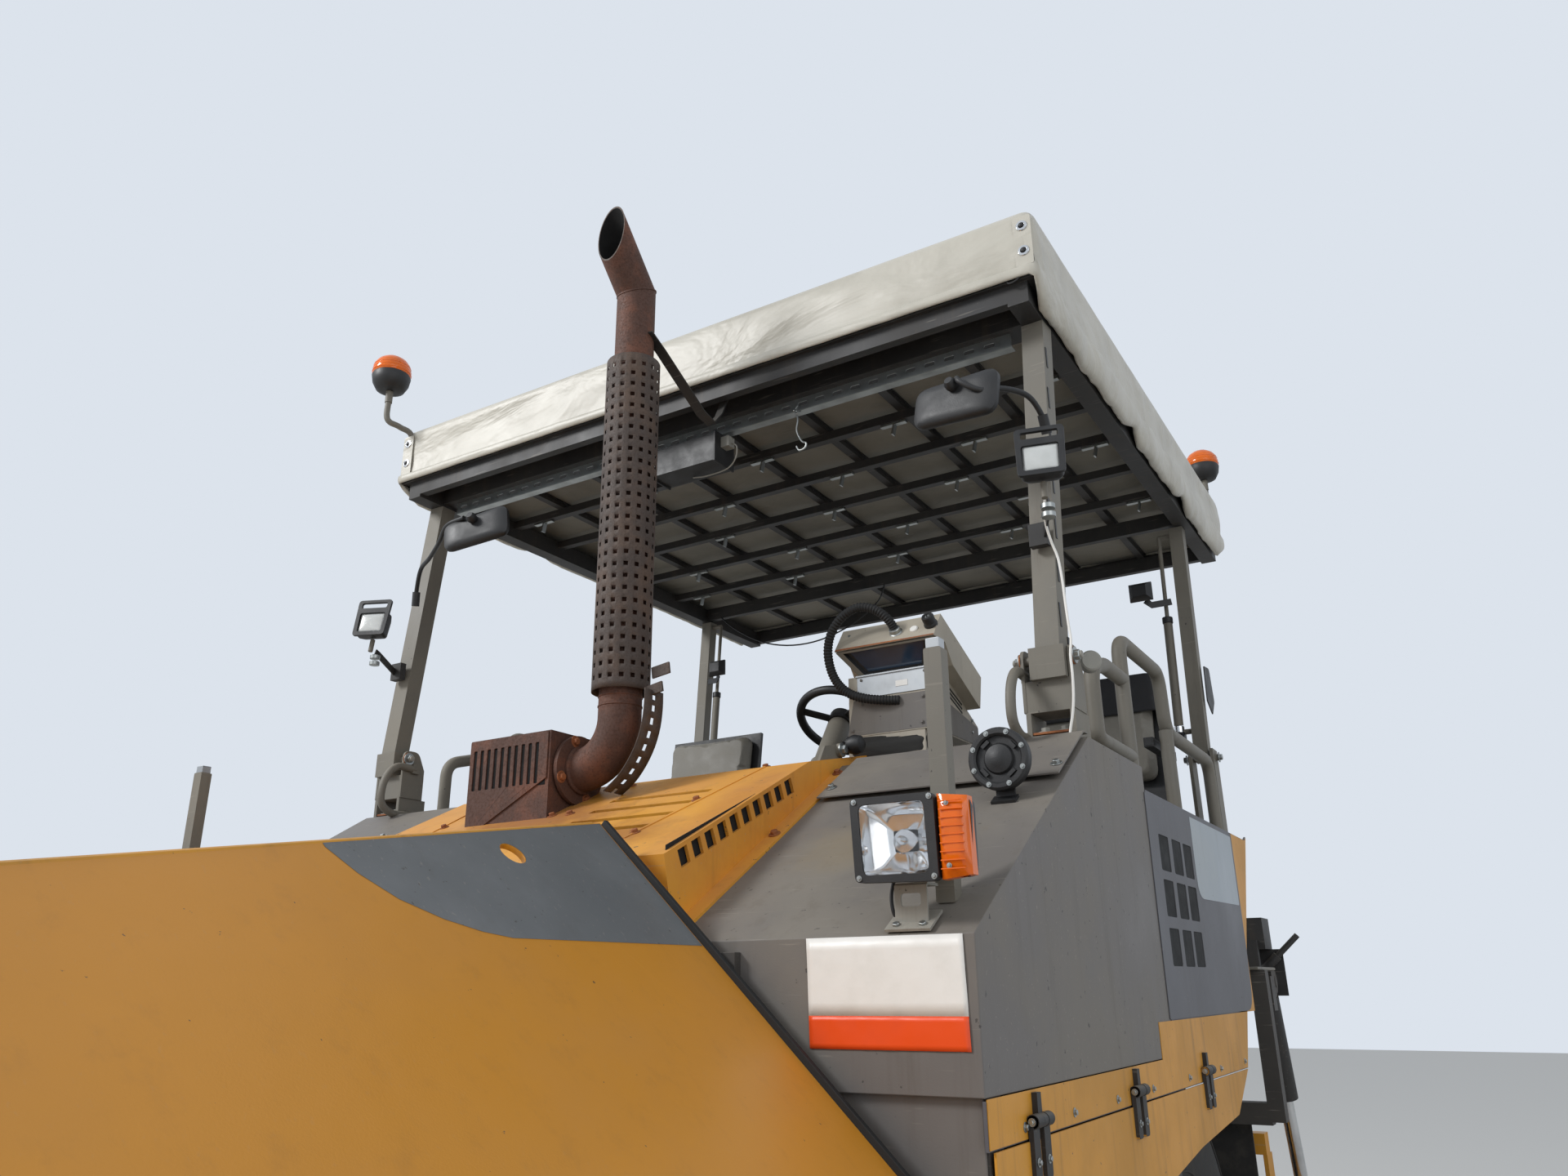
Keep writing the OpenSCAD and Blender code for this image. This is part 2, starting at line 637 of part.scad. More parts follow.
// folding hopper wing, folded up as parked
module wing() {
    difference() {
        prism_y([wing_y0, wing_y1], [floor_pt(40, 0), [bend_x, bend_z],
            wall_pt(wall_rear_l + 40, 0), wall_pt(wall_rear_l + 40, wing_t), inner_bend(),
            floor_pt(40, wing_t)]);
        // top edge falls toward the front
        translate([bend_x, 0, bend_z]) rotate([0, -wall_a, 0]) translate([0, 0, -20])
            linear_extrude(wing_t + 40) polygon([
                for (y = [wing_y0 - 30, wing_y1 + 30]) [wall_at(y), y],
                [wall_rear_l + 90, wing_y1 + 30], [wall_rear_l + 90, wing_y0 - 30]]);
        // lifting hole
        translate([bend_x, 0, bend_z]) rotate([0, -wall_a, 0])
            translate([wall_rear_l - 142, -382, -1]) cylinder(d = 50, h = wing_t + 2);
    }
    // end gussets
    for (g = [[wing_y1 - 10, wing_y1, wall_rear_l], [wing_y0, wing_y0 + 10, wall_front_l]])
        prism_y([g[0], g[1]], [
            floor_pt(60, wing_t / 2), floor_pt(floor_l - wing_t, wing_t / 2),
            wall_pt(g[2] - 4, wing_t / 2)]);
    // hinge sleeves
    for (k = wing_knuckles) difference() {
        union() {
            rod_y(hinge_x, k, hinge_z, hinge_od);
            translate([hinge_x, 0, hinge_z]) rotate([0, -floor_a, 0])
                bx([18, 45], [k[0] + 1, k[1] - 1], [1, wing_t - 1]);
        }
        rod_y(hinge_x, [k[0] - 1, k[1] + 1], hinge_z, hinge_pin_d + 2 * fit);
    }
    // cylinder lugs and pin under the floor plate
    for (s = [-1, 1]) translate([0, cyl_y + s * 31, 0]) hull() {
        rod_y(cyl_eye[0], [-7, 7], cyl_eye[1], eye_d, 32);
        translate([hinge_x, 0, hinge_z]) rotate([0, -floor_a, 0])
            bx([cyl_s - 70, cyl_s + 70], [-7, 7], [1, 3]);
    }
    rod_y(cyl_eye[0], [cyl_y - 40, cyl_y + 40], cyl_eye[1], pin_d);
}
module wing_l() color(paint) stn() { wing(); }
module wing_r() color(paint) stn() mirror([1, 0, 0]) { wing(); }
module wing_barrel() {
    translate([cyl_base[0], cyl_y, cyl_base[1]]) rotate([0, 90 - cyl_a, 0]) difference() {
        union() {
            rotate([-90, 0, 0]) translate([0, 0, -eye_w / 2]) cylinder(d = eye_d, h = eye_w);
            translate([0, 0, 20]) cylinder(d = eye_w - 2, h = 40);
            translate([0, 0, 50]) cylinder(d = barrel_d, h = barrel_l - 50);
        }
        rotate([-90, 0, 0]) translate([0, 0, -eye_w]) cylinder(d = pin_d + 2 * fit, h = 2 * eye_w);
        translate([0, 0, 65]) cylinder(d = rod_d + 2 * fit, h = barrel_l);
    }
}
module wing_rod() {
    translate([cyl_eye[0], cyl_y, cyl_eye[1]]) rotate([0, 90 - cyl_a, 0]) difference() {
        union() {
            rotate([-90, 0, 0]) translate([0, 0, -eye_w / 2]) cylinder(d = eye_d, h = eye_w);
            translate([0, 0, -cyl_len + 310]) cylinder(d = rod_d, h = cyl_len - 330);
        }
        rotate([-90, 0, 0]) translate([0, 0, -eye_w]) cylinder(d = pin_d + 2 * eye_play, h = 2 * eye_w);
    }
}
module wing_barrel_l() color(steel) stn() { wing_barrel(); }
module wing_barrel_r() color(steel) stn() mirror([1, 0, 0]) { wing_barrel(); }
module wing_rod_l() color(steel) stn() { wing_rod(); }
module wing_rod_r() color(steel) stn() mirror([1, 0, 0]) { wing_rod(); }

// lower side flap on three hinge lugs
flap_ys = [210, 836, 1503];
flap_axis = [half_w + 12, 1383];
module side_flap() {
    prism_x([half_w, half_w + 5], [[20, flap_axis[1] - 30], [2060, flap_axis[1] - 30],
        [1850, band_z + 56 - flap_h], [1370, band_z + 25 - flap_h], [1100, band_z - 5 - flap_h],
        [20, band_z - 20 - flap_h]]);
    for (y = flap_ys) difference() {
        union() {
            rod_x_lug(y, 12, 40);
            bx([half_w + 4, half_w + 12], [y - 40, y - 12], [flap_axis[1] - 90, flap_axis[1]]);
            bx([half_w + 4, half_w + 12], [y + 12, y + 40], [flap_axis[1] - 90, flap_axis[1]]);
        }
        rod_y(flap_axis[0], [y - 50, y + 50], flap_axis[1], 12);
    }
}
module rod_x_lug(y, a, b) {
    rod_y(flap_axis[0], [y - b, y - a], flap_axis[1], 22);
    rod_y(flap_axis[0], [y + a, y + b], flap_axis[1], 22);
}
module side_flap_l() color(paint) stn() { side_flap(); }
module side_flap_r() color(paint) stn() mirror([1, 0, 0]) { side_flap(); }
// fixed half of the flap hinges with their pins
module flap_hinges() color(black) stn() both() for (y = flap_ys) {
    rod_y(flap_axis[0], [y - 10, y + 10], flap_axis[1], 22);
    rod_y(flap_axis[0], [y - 44, y + 44], flap_axis[1], 10);
    bx([half_w, half_w + 12], [y - 10, y + 10], [flap_axis[1], grey_z - 5]);
}

// control box and splash plate on a bracket at the rear corner, with a telescopic grab bar
module rear_box() color(black) stn() {
    x = half_w;
    bx([x - 130, x - 70], [2930, 2965], [deck_z, 1750]);
    bx([x - 146, x - 46], [2964, 3110], [1718, 1832]);
    bx([x - 110, x - 8], [3095, 3101], [1549, 1719]);
    bar([x - 100, 3079, 1625], [x - 25, 3079, 1694], 34);
    bar([x - 28, 3079, 1691], [x + 56, 3079, 1768], 22);
}

// rubber mudflaps behind the drive wheels
module mudflaps() color(rubber) stn() both()
    bx([frame_x + 6, arm_x - 12], [outrigger_ys[2] + beam_w + seat, outrigger_ys[2] + beam_w + 10],
        [560, beam_top_z - 5]);

// canopy posts with their feet and lift struts
foot_x = [half_w - 147, half_w - 27];
module canopy_posts() color(warm_grey) stn() {
    zt = frame_top_z;
    both() {
        // front feet and posts
        bx([foot_x[0], foot_x[1]], [762, 890], [crown_z, crown_z + 10]);
        for (x = foot_x) bx([min(x, foot_x[1] - 12), min(x, foot_x[1] - 12) + 12], [765, 875],
            [crown_z + 9, 2213]);
        bx([foot_x[0], foot_x[1]], [765, 860], [2212, 2290]);
        bx([half_w - 123, half_w - 35], [746, 838], [2289, 2368]);
        difference() {
            sq_bar([half_w - 76, 783, 2330], [roof_x + roof_w / 2, 900, zt - 20], post_s, post_s);
            bx([roof_x - 90, roof_x + 110], [700, 1100], [zt - side_h, zt + 100]);
        }
        rod_x([half_w - 143, half_w - 10], 783, 2345, 24);
        // rear feet and posts
        for (x = [half_w - 142, half_w - 64]) bx([x, x + 12], [2500, 2578], [side_top_z, 2410]);
        bx([half_w - 160, half_w - 34], [2470, 2582], [side_top_z, side_top_z + 10]);
        difference() {
            sq_bar([half_w - 97, 2540, 2370], [roof_x + 3, 2630, zt - 20], post_s - 10,
                post_s - 10);
            bx([roof_x - 90, roof_x + 110], [2500, 2800], [zt - side_h, zt + 100]);
        }
        rod_x([half_w - 150, half_w - 44], 2540, 2381, 24);
        // lift struts
        bar([half_w - 170, 2545, 2480], [half_w - 170, 2590, 2950], 34);
        bar([half_w - 170, 2590, 2950], [roof_x - 70, 2622, zt - 96], 16);
        rod_x([half_w - 172, half_w - 120], 2550, 2490, 20);
        rod_x([roof_x - 72, roof_x], 2622, zt - 96, 20);
    }
}

// roof grid under the cover: side rails, end beams, thin cross bars and stringers
roof_xs = [-900, -600, -300, 0, 300, 600, 900];
roof_ys = [1240, 1500, 1765, 2050, 2330];
side_h = 70;
module roof_grid() color(black) stn() {
    zt = frame_top_z;
    y0 = cover_y0 + 20;
    y1 = cover_y1 - 20;
    both() bx([roof_x, roof_x + roof_w], [y0, y1], [zt - side_h, zt]);
    // angle bar round the edge, which the hem of the cover is fastened to
    xe = cover_w / 2 - cover_t - seat;
    ye = [cover_y0 + cover_t + seat, cover_y1 - cover_t - seat];
    both() {
        bx([roof_x + roof_w - 1, xe], ye, [zt - 6, zt]);
        bx([xe - 5, xe], ye, [zt - 1, cover_z + 40]);
    }
    for (y = [[ye[0], y0 + 1], [y1 - 1, ye[1]]])
        bx([-roof_x - roof_w, roof_x + roof_w], y, [zt - 6, zt]);
    for (y = [ye[0], ye[1] - 5]) bx([-xe + 1, xe - 1], [y, y + 5], [zt - 1, cover_z + 40]);
    for (y = roof_ys) bx([-roof_x - 1, roof_x + 1], [y, y + 30], [zt - 31, zt - 1]);
    for (y = [y0, 870, 2600, y1 - 30]) bx([-roof_x - 1, roof_x + 1], [y, y + 30], [zt - 60, zt]);
    bx([-roof_x - 1, roof_x + 1], [899, 960], [zt - 60, zt - 54]);
    for (x = roof_xs) bx([x - 15, x + 15], [y0 + 29, y1 - 29], [zt - 1, zt + 19.7]);
}

// fabric cover over the roof grid
module canopy_cover() color(pale) stn() difference() {
    bx([-cover_w / 2, cover_w / 2], [cover_y0, cover_y1], [cover_z, cover_z + cover_h]);
    bx([-cover_w / 2 + cover_t, cover_w / 2 - cover_t],
        [cover_y0 + cover_t, cover_y1 - cover_t], [cover_z - 1, cover_z + cover_h - cover_t]);
}

// head lamps, work lamps, horn
module lamps() color(black) stn() {
    both() {
        bx([half_w - 220, half_w], [-10, 60], [1765, 1920]);
        prism_x([half_w - 150, half_w - 110],
            [[25, nose_at(25) + seat], [55, nose_at(55) + seat], [55, 1766],
            [25, 1766]]);
    }
    // work lamps under the canopy front
    for (x = [[half_w - 60, half_w + 40, half_w - 50, 2.6],
        [70 - half_w, 170 - half_w, 78 - half_w, 1.4]]) {
        bx([x[0], x[1]], [560, 640], [2700, 2880]);
        rod_y(x[2], [639, post_front(2790) - x[3]], 2790, 18);
    }
    rod_y(half_w - 105, [430, 470], 2050, 130);
    prism_x([half_w - 130, half_w - 80],
        [[440, nose_at(440) + seat], [455, nose_at(455) + seat], [455, 2050],
        [440, 2050]]);
}
// front face of the leaning front posts at a height
function post_front(z) = 783 + 117 * (z - 2330) / (frame_top_z - 20 - 2330) - post_s / 2;

// outside mirrors on bent arms
module mirrors() color(black) stn() {
    zm = frame_top_z - 30;
    bx([920, 1160], [580, 610], [2935, 3075]);
    bar([1040, 600, 3065], [1080, 702, zm], 16);
    rod_y(1080, [690, cover_y0 + 19.7], zm, 22);
    bx([-780, -540], [580, 610], [3000, 3120]);
    bar([-660, 600, 3110], [-700, 702, zm], 16);
    rod_y(-700, [690, cover_y0 + 19.7], zm, 22);
}

// flashing beacons on bent brackets
module beacons() color(amber) stn() {
    for (p = [[-1200, 640, 0], [1200, 3160, 1]]) {
        rod_z(p[0], p[1], [3730, 3760], 130);
        rod_z(p[0], p[1], [3760, 3842], 120);
        translate([p[0], p[1], 3842]) cylinder(d1 = 120, d2 = 84, h = 28);
        rod_z(p[0], p[1], [frame_top_z - 40, 3735], 25);
    }
    rod_y(-1200, [640, cover_y0 + 19.7], frame_top_z - 30, 22);
    rod_y(1200, [cover_y1 - 19.7, 3160], frame_top_z - 30, 22);
}

// tow arms from the tow points to the screed
module tow_arms() color(paint) stn() both() {
    rod_x([arm_x + eps, arm_x + arm_t - eps], lift_eye[0], lift_eye[1], 40);
    difference() {
        union() {
            prism_x([arm_x, arm_x + arm_t], [[tow_y - 20, tow_z - 60], [2500, 430], [3000, 560],
                [3300, 380], [3420, 380], [3420, 880], [3160, 880], [2500, 600],
                [tow_y - 20, tow_z + 60]]);
            rod_x([arm_x, arm_x + arm_t], tow_y, tow_z, 140);
        }
        rod_x([arm_x - 1, arm_x + arm_t + 1], tow_y, tow_z, tow_pin_d + 2 * fit);
        bx([lift_x - 30, lift_x + 30], [lift_eye[0] - 60, lift_eye[0] + 60],
            [lift_eye[1] - 60, lift_eye[1] + 100]);
    }
}
// screed main body with plate, box, rear sleeves and crown tower
module screed_body() color(paint) stn() {
    bx([-screed_x, screed_x], [screed_y0, screed_y1], [0, plate_t]);
    bx([-screed_x, screed_x], [screed_y0 + 10, screed_y1 - 10], [plate_t, 380]);
    bx([-screed_x, screed_x], [screed_y0 - 15, screed_y0 + 10], [15, 330]);
    bx([-arm_x - arm_t, arm_x + arm_t], [screed_y0 + 120, screed_y1 - 40], [379, 640]);
    for (x = [-1100, -150, 150, 1100]) difference() {
        bx([x - 40, x + 40], [screed_y1 - 41, 4010], [430, 660]);
        for (y = guide_ys, z = [guide_z_l, guide_z_r])
            rod_x([x - 41, x + 41], y, z, guide_d + 2 * fit);
    }
    bx([-600, 600], [screed_y0 + 130, screed_y1 - 60], [639, 1000]);
}
module screed_extension(zg) {
    difference() {
        bx([5, ext_x], [ext_y0, ext_y1], [0, 400]);
        bx([5 - 1, ext_x - 20], [ext_y0 + 12, ext_y1 + 1], [plate_t, 388]);
    }
    bx([ext_x - 20, ext_x], [ext_y0, ext_y1], [399, 660]);
    for (y = guide_ys) rod_x([-1200, ext_x - 10], y, zg, guide_d);
    // walkway and end gate
    bx([5, ext_x], [ext_y1 - 1, walk_y], [380, 400]);
    bx([ext_x, ext_x + 20], [3260, walk_y], [0, 420]);
}
module screed_extension_l() color(paint) stn() { screed_extension(guide_z_l); }
module screed_extension_r() color(paint) stn() mirror([1, 0, 0]) {
    screed_extension(guide_z_r);
}
// screed lift cylinders
module lift_barrels() color(steel) stn() both()
    translate([lift_x, lift_top[0], lift_top[1]]) rotate([lift_a - 90, 0, 0]) difference() {
        union() {
            translate([-30, 0, 0]) rotate([0, 90, 0]) cylinder(d = 80, h = 60);
            translate([0, 0, 20]) cylinder(d = 56, h = 50);
            translate([0, 0, 55]) cylinder(d = lift_d, h = lift_barrel_l - 55);
        }
        translate([-40, 0, 0]) rotate([0, 90, 0]) cylinder(d = 40 + 2 * fit, h = 80);
        translate([0, 0, 70]) cylinder(d = 50 + 2 * fit, h = lift_barrel_l);
    }
module lift_rods() color(steel) stn() both()
    translate([lift_x, lift_eye[0], lift_eye[1]]) rotate([lift_a - 90, 0, 0]) difference() {
        union() {
            translate([-22, 0, 0]) rotate([0, 90, 0]) cylinder(d = 80, h = 44);
            translate([0, 0, -lift_len + 362]) cylinder(d = 50, h = lift_len - 382);
        }
        translate([-40, 0, 0]) rotate([0, 90, 0]) cylinder(d = 40 + 4, h = 80);
    }

// spreading augers and their carrier
module auger() {
    rod_x([auger_x0, auger_x1], auger_y, auger_z, auger_shaft_d);
    translate([auger_x0 + 20, auger_y, auger_z]) rotate([0, 90, 0])
        linear_extrude(auger_x1 - auger_x0 - 50, twist = -1080, slices = 60, $fn = 4)
            translate([0, -7]) square([auger_d / 2, 14]);
}
module auger_l() color(steel) stn() { auger(); }
module auger_r() color(steel) stn() mirror([1, 0, 0]) { auger(); }
module auger_frame() color(paint) stn() {
    bx([-1110, 1110], [rear_y, rear_y + 70], [1010, 1080]);
    bx([-75, 75], [auger_y - 45, auger_y + 60], [260, 1011]);
    both() bx([1095, 1110], [auger_y - 45, auger_y + 50], [290, 1011]);
    both() rod_x([70, auger_x0 - 0.3], auger_y, auger_z, 60);
    both() rod_x([auger_x1 + 0.3, 1100], auger_y, auger_z, 60);
}

main_frame();
hopper_base();
outriggers();
frame_brackets();
conveyors();
push_beam();
engine_block();
front_cowls();
side_shells();
hood();
exhaust_stack();
exhaust_guard();
operator_deck();
console();
steering_wheel();
seat_frames();
seat_cushions();
guard_rails();
front_bogies();
rear_axle();
flap_hinges();
mudflaps();
rear_box();
canopy_posts();
roof_grid();
canopy_cover();
lamps();
mirrors();
beacons();
auger_frame();
push_roller_l();
push_roller_r();
knuckle_l1();
knuckle_l2();
knuckle_r1();
knuckle_r2();
front_wheel_l1();
front_wheel_l2();
front_wheel_r1();
front_wheel_r2();
rear_rim_l();
rear_rim_r();
rear_tyre_l();
rear_tyre_r();
wing_l();
wing_r();
wing_barrel_l();
wing_barrel_r();
wing_rod_l();
wing_rod_r();
side_flap_l();
side_flap_r();
tow_arms();
screed_body();
screed_extension_l();
screed_extension_r();
lift_barrels();
lift_rods();
auger_l();
auger_r();
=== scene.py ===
import math, random
import bpy, bmesh
from mathutils import Matrix, Vector, noise


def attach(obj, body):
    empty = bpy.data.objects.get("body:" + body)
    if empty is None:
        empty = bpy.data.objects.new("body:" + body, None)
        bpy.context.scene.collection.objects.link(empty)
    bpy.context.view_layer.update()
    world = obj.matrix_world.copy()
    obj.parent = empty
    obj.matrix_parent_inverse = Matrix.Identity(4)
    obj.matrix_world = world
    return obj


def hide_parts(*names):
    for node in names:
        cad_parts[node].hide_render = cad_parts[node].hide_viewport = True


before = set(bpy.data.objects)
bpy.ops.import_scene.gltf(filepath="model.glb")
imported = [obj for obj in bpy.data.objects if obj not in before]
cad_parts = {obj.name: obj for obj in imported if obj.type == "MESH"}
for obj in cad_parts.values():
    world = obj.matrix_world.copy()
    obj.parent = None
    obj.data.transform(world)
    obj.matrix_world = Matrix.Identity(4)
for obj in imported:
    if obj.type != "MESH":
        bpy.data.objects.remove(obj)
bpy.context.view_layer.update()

random.seed(5)  # the bolt heads are turned the same way in each run

# Sizes below are stations in millimetres, as in the part's source: y = 0 is the body's front face.
bodyShift = 1150


def spot(x, y, z):
    return Vector((x, y - bodyShift, z)) / 1000


def hexColour(text):  # sRGB hex to the linear colour that the shader takes
    parts = [int(text[i:i + 2], 16) / 255 for i in (0, 2, 4)]
    return tuple(c / 12.92 if c <= 0.04045 else ((c + 0.055) / 1.055) ** 2.4 for c in parts) + (1,)


def setInputs(tree, node, inputs):
    for key, value in inputs.items():
        if isinstance(value, bpy.types.NodeSocket):
            tree.links.new(value, node.inputs[key])
        else:
            node.inputs[key].default_value = value


def addNode(tree, kind, inputs=None, **settings):
    node = tree.nodes.new(kind)
    for key, value in settings.items():
        setattr(node, key, value)
    setInputs(tree, node, inputs or {})
    return node


def addMath(tree, first, second, operation):
    return addNode(tree, "ShaderNodeMath", {0: first, 1: second}, operation=operation).outputs[0]


def addNoise(tree, place, scale, detail, roughness=0.5, distortion=0):
    return addNode(tree, "ShaderNodeTexNoise", {"Vector": place, "Scale": scale, "Detail": detail,
                                                "Roughness": roughness, "Distortion": distortion}).outputs[0]


def addMapping(tree, place, scale, turn=(0, 0, 0)):
    return addNode(tree, "ShaderNodeMapping", {"Vector": place, "Rotation": turn, "Scale": scale}).outputs[0]


def addRange(tree, value, low, high, first=0, last=1, smooth=False):
    inputs = {0: value, 1: low, 2: high, 3: first, 4: last}
    return addNode(tree, "ShaderNodeMapRange", inputs, interpolation_type="SMOOTHSTEP" if smooth else "LINEAR").outputs[0]


def addMix(tree, amount, first, second):  # each colour is a socket, a hex text or four numbers
    first, second = (hexColour(c) if isinstance(c, str) else c for c in (first, second))
    return addNode(tree, "ShaderNodeMix", {0: amount, 6: first, 7: second}, data_type="RGBA").outputs[2]


def addBump(tree, height, strength, distance, under=None):
    inputs = {"Height": height, "Strength": strength, "Distance": distance}
    if under is not None:
        inputs["Normal"] = under
    return addNode(tree, "ShaderNodeBump", inputs).outputs[0]


def startMaterial(name):
    made = bpy.data.materials.new(name)
    made.use_nodes = True
    shader = made.node_tree.nodes["Principled BSDF"]
    place = addNode(made.node_tree, "ShaderNodeTexCoord").outputs["Object"]
    return made, made.node_tree, shader, place


def finished(made, shader, colour, rough, normal):
    setInputs(made.node_tree, shader, {"Base Color": colour, "Roughness": rough, "Normal": normal})
    return made


# camera at the photographer's eye height, looking up along the machine's left front corner
cameraSet = {"place": (1.991, -2.953, 1.600), "pitch": 19.52, "heading": 31.39, "roll": 0.574, "lens": 25.815}
pitch, heading, roll = (math.radians(cameraSet[k]) for k in ("pitch", "heading", "roll"))
ahead = Vector((-math.sin(heading) * math.cos(pitch), math.cos(heading) * math.cos(pitch), math.sin(pitch)))
right = Vector((math.cos(heading), math.sin(heading), 0))
up = right.cross(ahead)
right, up = (right * math.cos(roll) - up * math.sin(roll), right * math.sin(roll) + up * math.cos(roll))
camera = bpy.data.objects.new("camera", bpy.data.cameras.new("camera"))
camera.data.lens, camera.data.sensor_width, camera.data.sensor_fit = cameraSet["lens"], 36, "HORIZONTAL"
camera.data.clip_end = 200
camera.matrix_world = Matrix((right, up, -ahead)).transposed().to_4x4()
camera.location = cameraSet["place"]
bpy.context.collection.objects.link(camera)
bpy.context.scene.camera = camera

# floor, lamps and pale surround
light = {"sun": (-6.5, -7.5, 9.0), "sunPower": 950, "sunSize": 3.0, "fill": (8, -6, 5), "fillPower": 160,
         "skyStrength": 0.62, "floorSize": 60}
floorMesh = bpy.data.meshes.new("floor")
half = light["floorSize"] / 2
floorMesh.from_pydata([(-half, -half, 0), (half, -half, 0), (half, half, 0), (-half, half, 0)], [], [(0, 1, 2, 3)])
floor = bpy.data.objects.new("floor", floorMesh)
bpy.context.collection.objects.link(floor)
paleFloor, tree, shader, place = startMaterial("paleFloor")  # sealed pale concrete: matt, even
shader.inputs["Base Color"].default_value = hexColour("D9D8D4")
shader.inputs["Roughness"].default_value = 0.8
floorMesh.materials.append(paleFloor)

world = bpy.data.worlds.new("paleSurround")
bpy.context.scene.world = world
world.use_nodes = True
tree = world.node_tree
rays = addNode(tree, "ShaderNodeLightPath")
seen = addMath(tree, rays.outputs["Is Camera Ray"], rays.outputs["Is Glossy Ray"], "MAXIMUM")
seen = addMath(tree, seen, rays.outputs["Is Transmission Ray"], "MAXIMUM")
dim = tree.nodes["Background"]
dim.inputs["Color"].default_value = hexColour("E9EEF5")
dim.inputs["Strength"].default_value = light["skyStrength"]
pale = addNode(tree, "ShaderNodeBackground", {"Color": hexColour("DCE3EC"), "Strength": 1.0})
both = addNode(tree, "ShaderNodeMixShader", {0: seen, 1: dim.outputs[0], 2: pale.outputs[0]})
tree.links.new(both.outputs[0], tree.nodes["World Output"].inputs["Surface"])
for name, power, size in (("sun", light["sunPower"], light["sunSize"]), ("fill", light["fillPower"], 6)):
    lamp = bpy.data.lights.new(name + "Lamp", "AREA")
    lamp.energy, lamp.size = power, size
    holder = bpy.data.objects.new(name + "Lamp", lamp)
    holder.location = light[name]
    holder.rotation_euler = (Vector((0.3, -0.9, 2.0)) - holder.location).to_track_quat("-Z", "Y").to_euler()
    bpy.context.collection.objects.link(holder)
view = bpy.context.scene.view_settings
view.view_transform = "Standard"
print("stage: camera, floor and lamps")


# materials
def weatheredPaint(name, base, faded, dirt="4A3F33", chip="3A3836", rough=(0.42, 0.62), wear=0.5, streak=0.35,
                   dust=0.25, stains=()):
    # oven-cured machine enamel left outdoors: chalky clouds, vertical dirt runs, small chips, dust on ledges
    made, tree, shader, place = startMaterial(name)
    cloud = addNoise(tree, place, 2.6, 5, 0.6)
    colour = addMix(tree, addRange(tree, cloud, 0.38, 0.66, smooth=True), base, faded)
    runs = addNoise(tree, addMapping(tree, place, (22, 22, 1.6)), 1, 4, 0.7)
    colour = addMix(tree, addRange(tree, runs, 0.5, 0.8, 0, streak, True), colour, dirt)
    for centre, reach, tone, strength in stains:  # a rust or dirt patch round one place
        far = place
        for value, way in ((spot(*centre), "SUBTRACT"), ([1000 / r for r in reach], "MULTIPLY")):
            far = addNode(tree, "ShaderNodeVectorMath", {0: far, 1: value}, operation=way).outputs[0]
        far = addNode(tree, "ShaderNodeVectorMath", {0: far}, operation="LENGTH").outputs["Value"]
        edge = addMath(tree, far, addNoise(tree, place, 16, 6, 0.65), "ADD")
        colour = addMix(tree, addRange(tree, edge, 1.55, 0.65, 0, strength, True), colour, tone)
    chips = addRange(tree, addNoise(tree, place, 55, 3, 0.6), 0.745 - 0.07 * wear, 0.765 - 0.07 * wear, 0, 0.8)
    rubbed = addNoise(tree, addMapping(tree, place, (9, 150, 120), (0.5, 0.9, 0.3)), 1, 2)
    colour = addMix(tree, addRange(tree, rubbed, 0.66, 0.74, 0, 0.35 * wear), colour, "A39C90")
    colour = addMix(tree, chips, colour, chip)
    facing = addNode(tree, "ShaderNodeNewGeometry").outputs["Normal"]
    facing = addNode(tree, "ShaderNodeSeparateXYZ", {0: facing}).outputs[2]
    dusty = addMath(tree, addRange(tree, facing, 0.35, 1.0, 0, dust), cloud, "MULTIPLY")
    colour = addMix(tree, dusty, colour, "A79C88")
    peel = addNoise(tree, place, 320, 2)  # 3 mm orange peel
    bump = addBump(tree, addMath(tree, peel, chips, "SUBTRACT"), 0.25, 0.0006)
    bump = addBump(tree, addNoise(tree, place, 5, 2), 0.5, 0.006, bump)  # plate that isn't quite flat
    return finished(made, shader, colour, addRange(tree, cloud, 0.3, 0.7, *rough), bump)


def coarseMetal(name, base, light, dark, rough=(0.6, 0.9), metallic=0.0, grain=160, bumpDepth=0.0012, spread=0.5):
    # bare steel gone to rust, or worn bright: blotches in two sizes over a gritty skin
    made, tree, shader, place = startMaterial(name)
    big, small = addNoise(tree, place, 9, 6, 0.7), addNoise(tree, place, grain, 4, 0.7)
    colour = addMix(tree, addRange(tree, big, 0.42, 0.68, smooth=True), base, light)
    colour = addMix(tree, addRange(tree, small, 0.52, 0.7, 0, spread), colour, dark)
    shader.inputs["Metallic"].default_value = metallic
    gloss = addRange(tree, small, 0.3, 0.7, *rough)
    return finished(made, shader, colour, gloss, addBump(tree, small, 0.6, bumpDepth))


def moulded(name, base, bloom, rough=0.5, grain=420, depth=0.0004, amount=0.35):
    # moulded plastic or rubber: fine grain from the tool, greyed where the sun has chalked it
    made, tree, shader, place = startMaterial(name)
    big = addNoise(tree, place, 14, 5, 0.65)
    colour = addMix(tree, addRange(tree, big, 0.42, 0.75, 0, amount, True), base, bloom)
    cells = addNode(tree, "ShaderNodeTexVoronoi", {"Vector": place, "Scale": grain}).outputs["Distance"]
    gloss = addRange(tree, big, 0.3, 0.7, rough - 0.08, rough + 0.12)
    return finished(made, shader, colour, gloss, addBump(tree, cells, 0.4, depth))


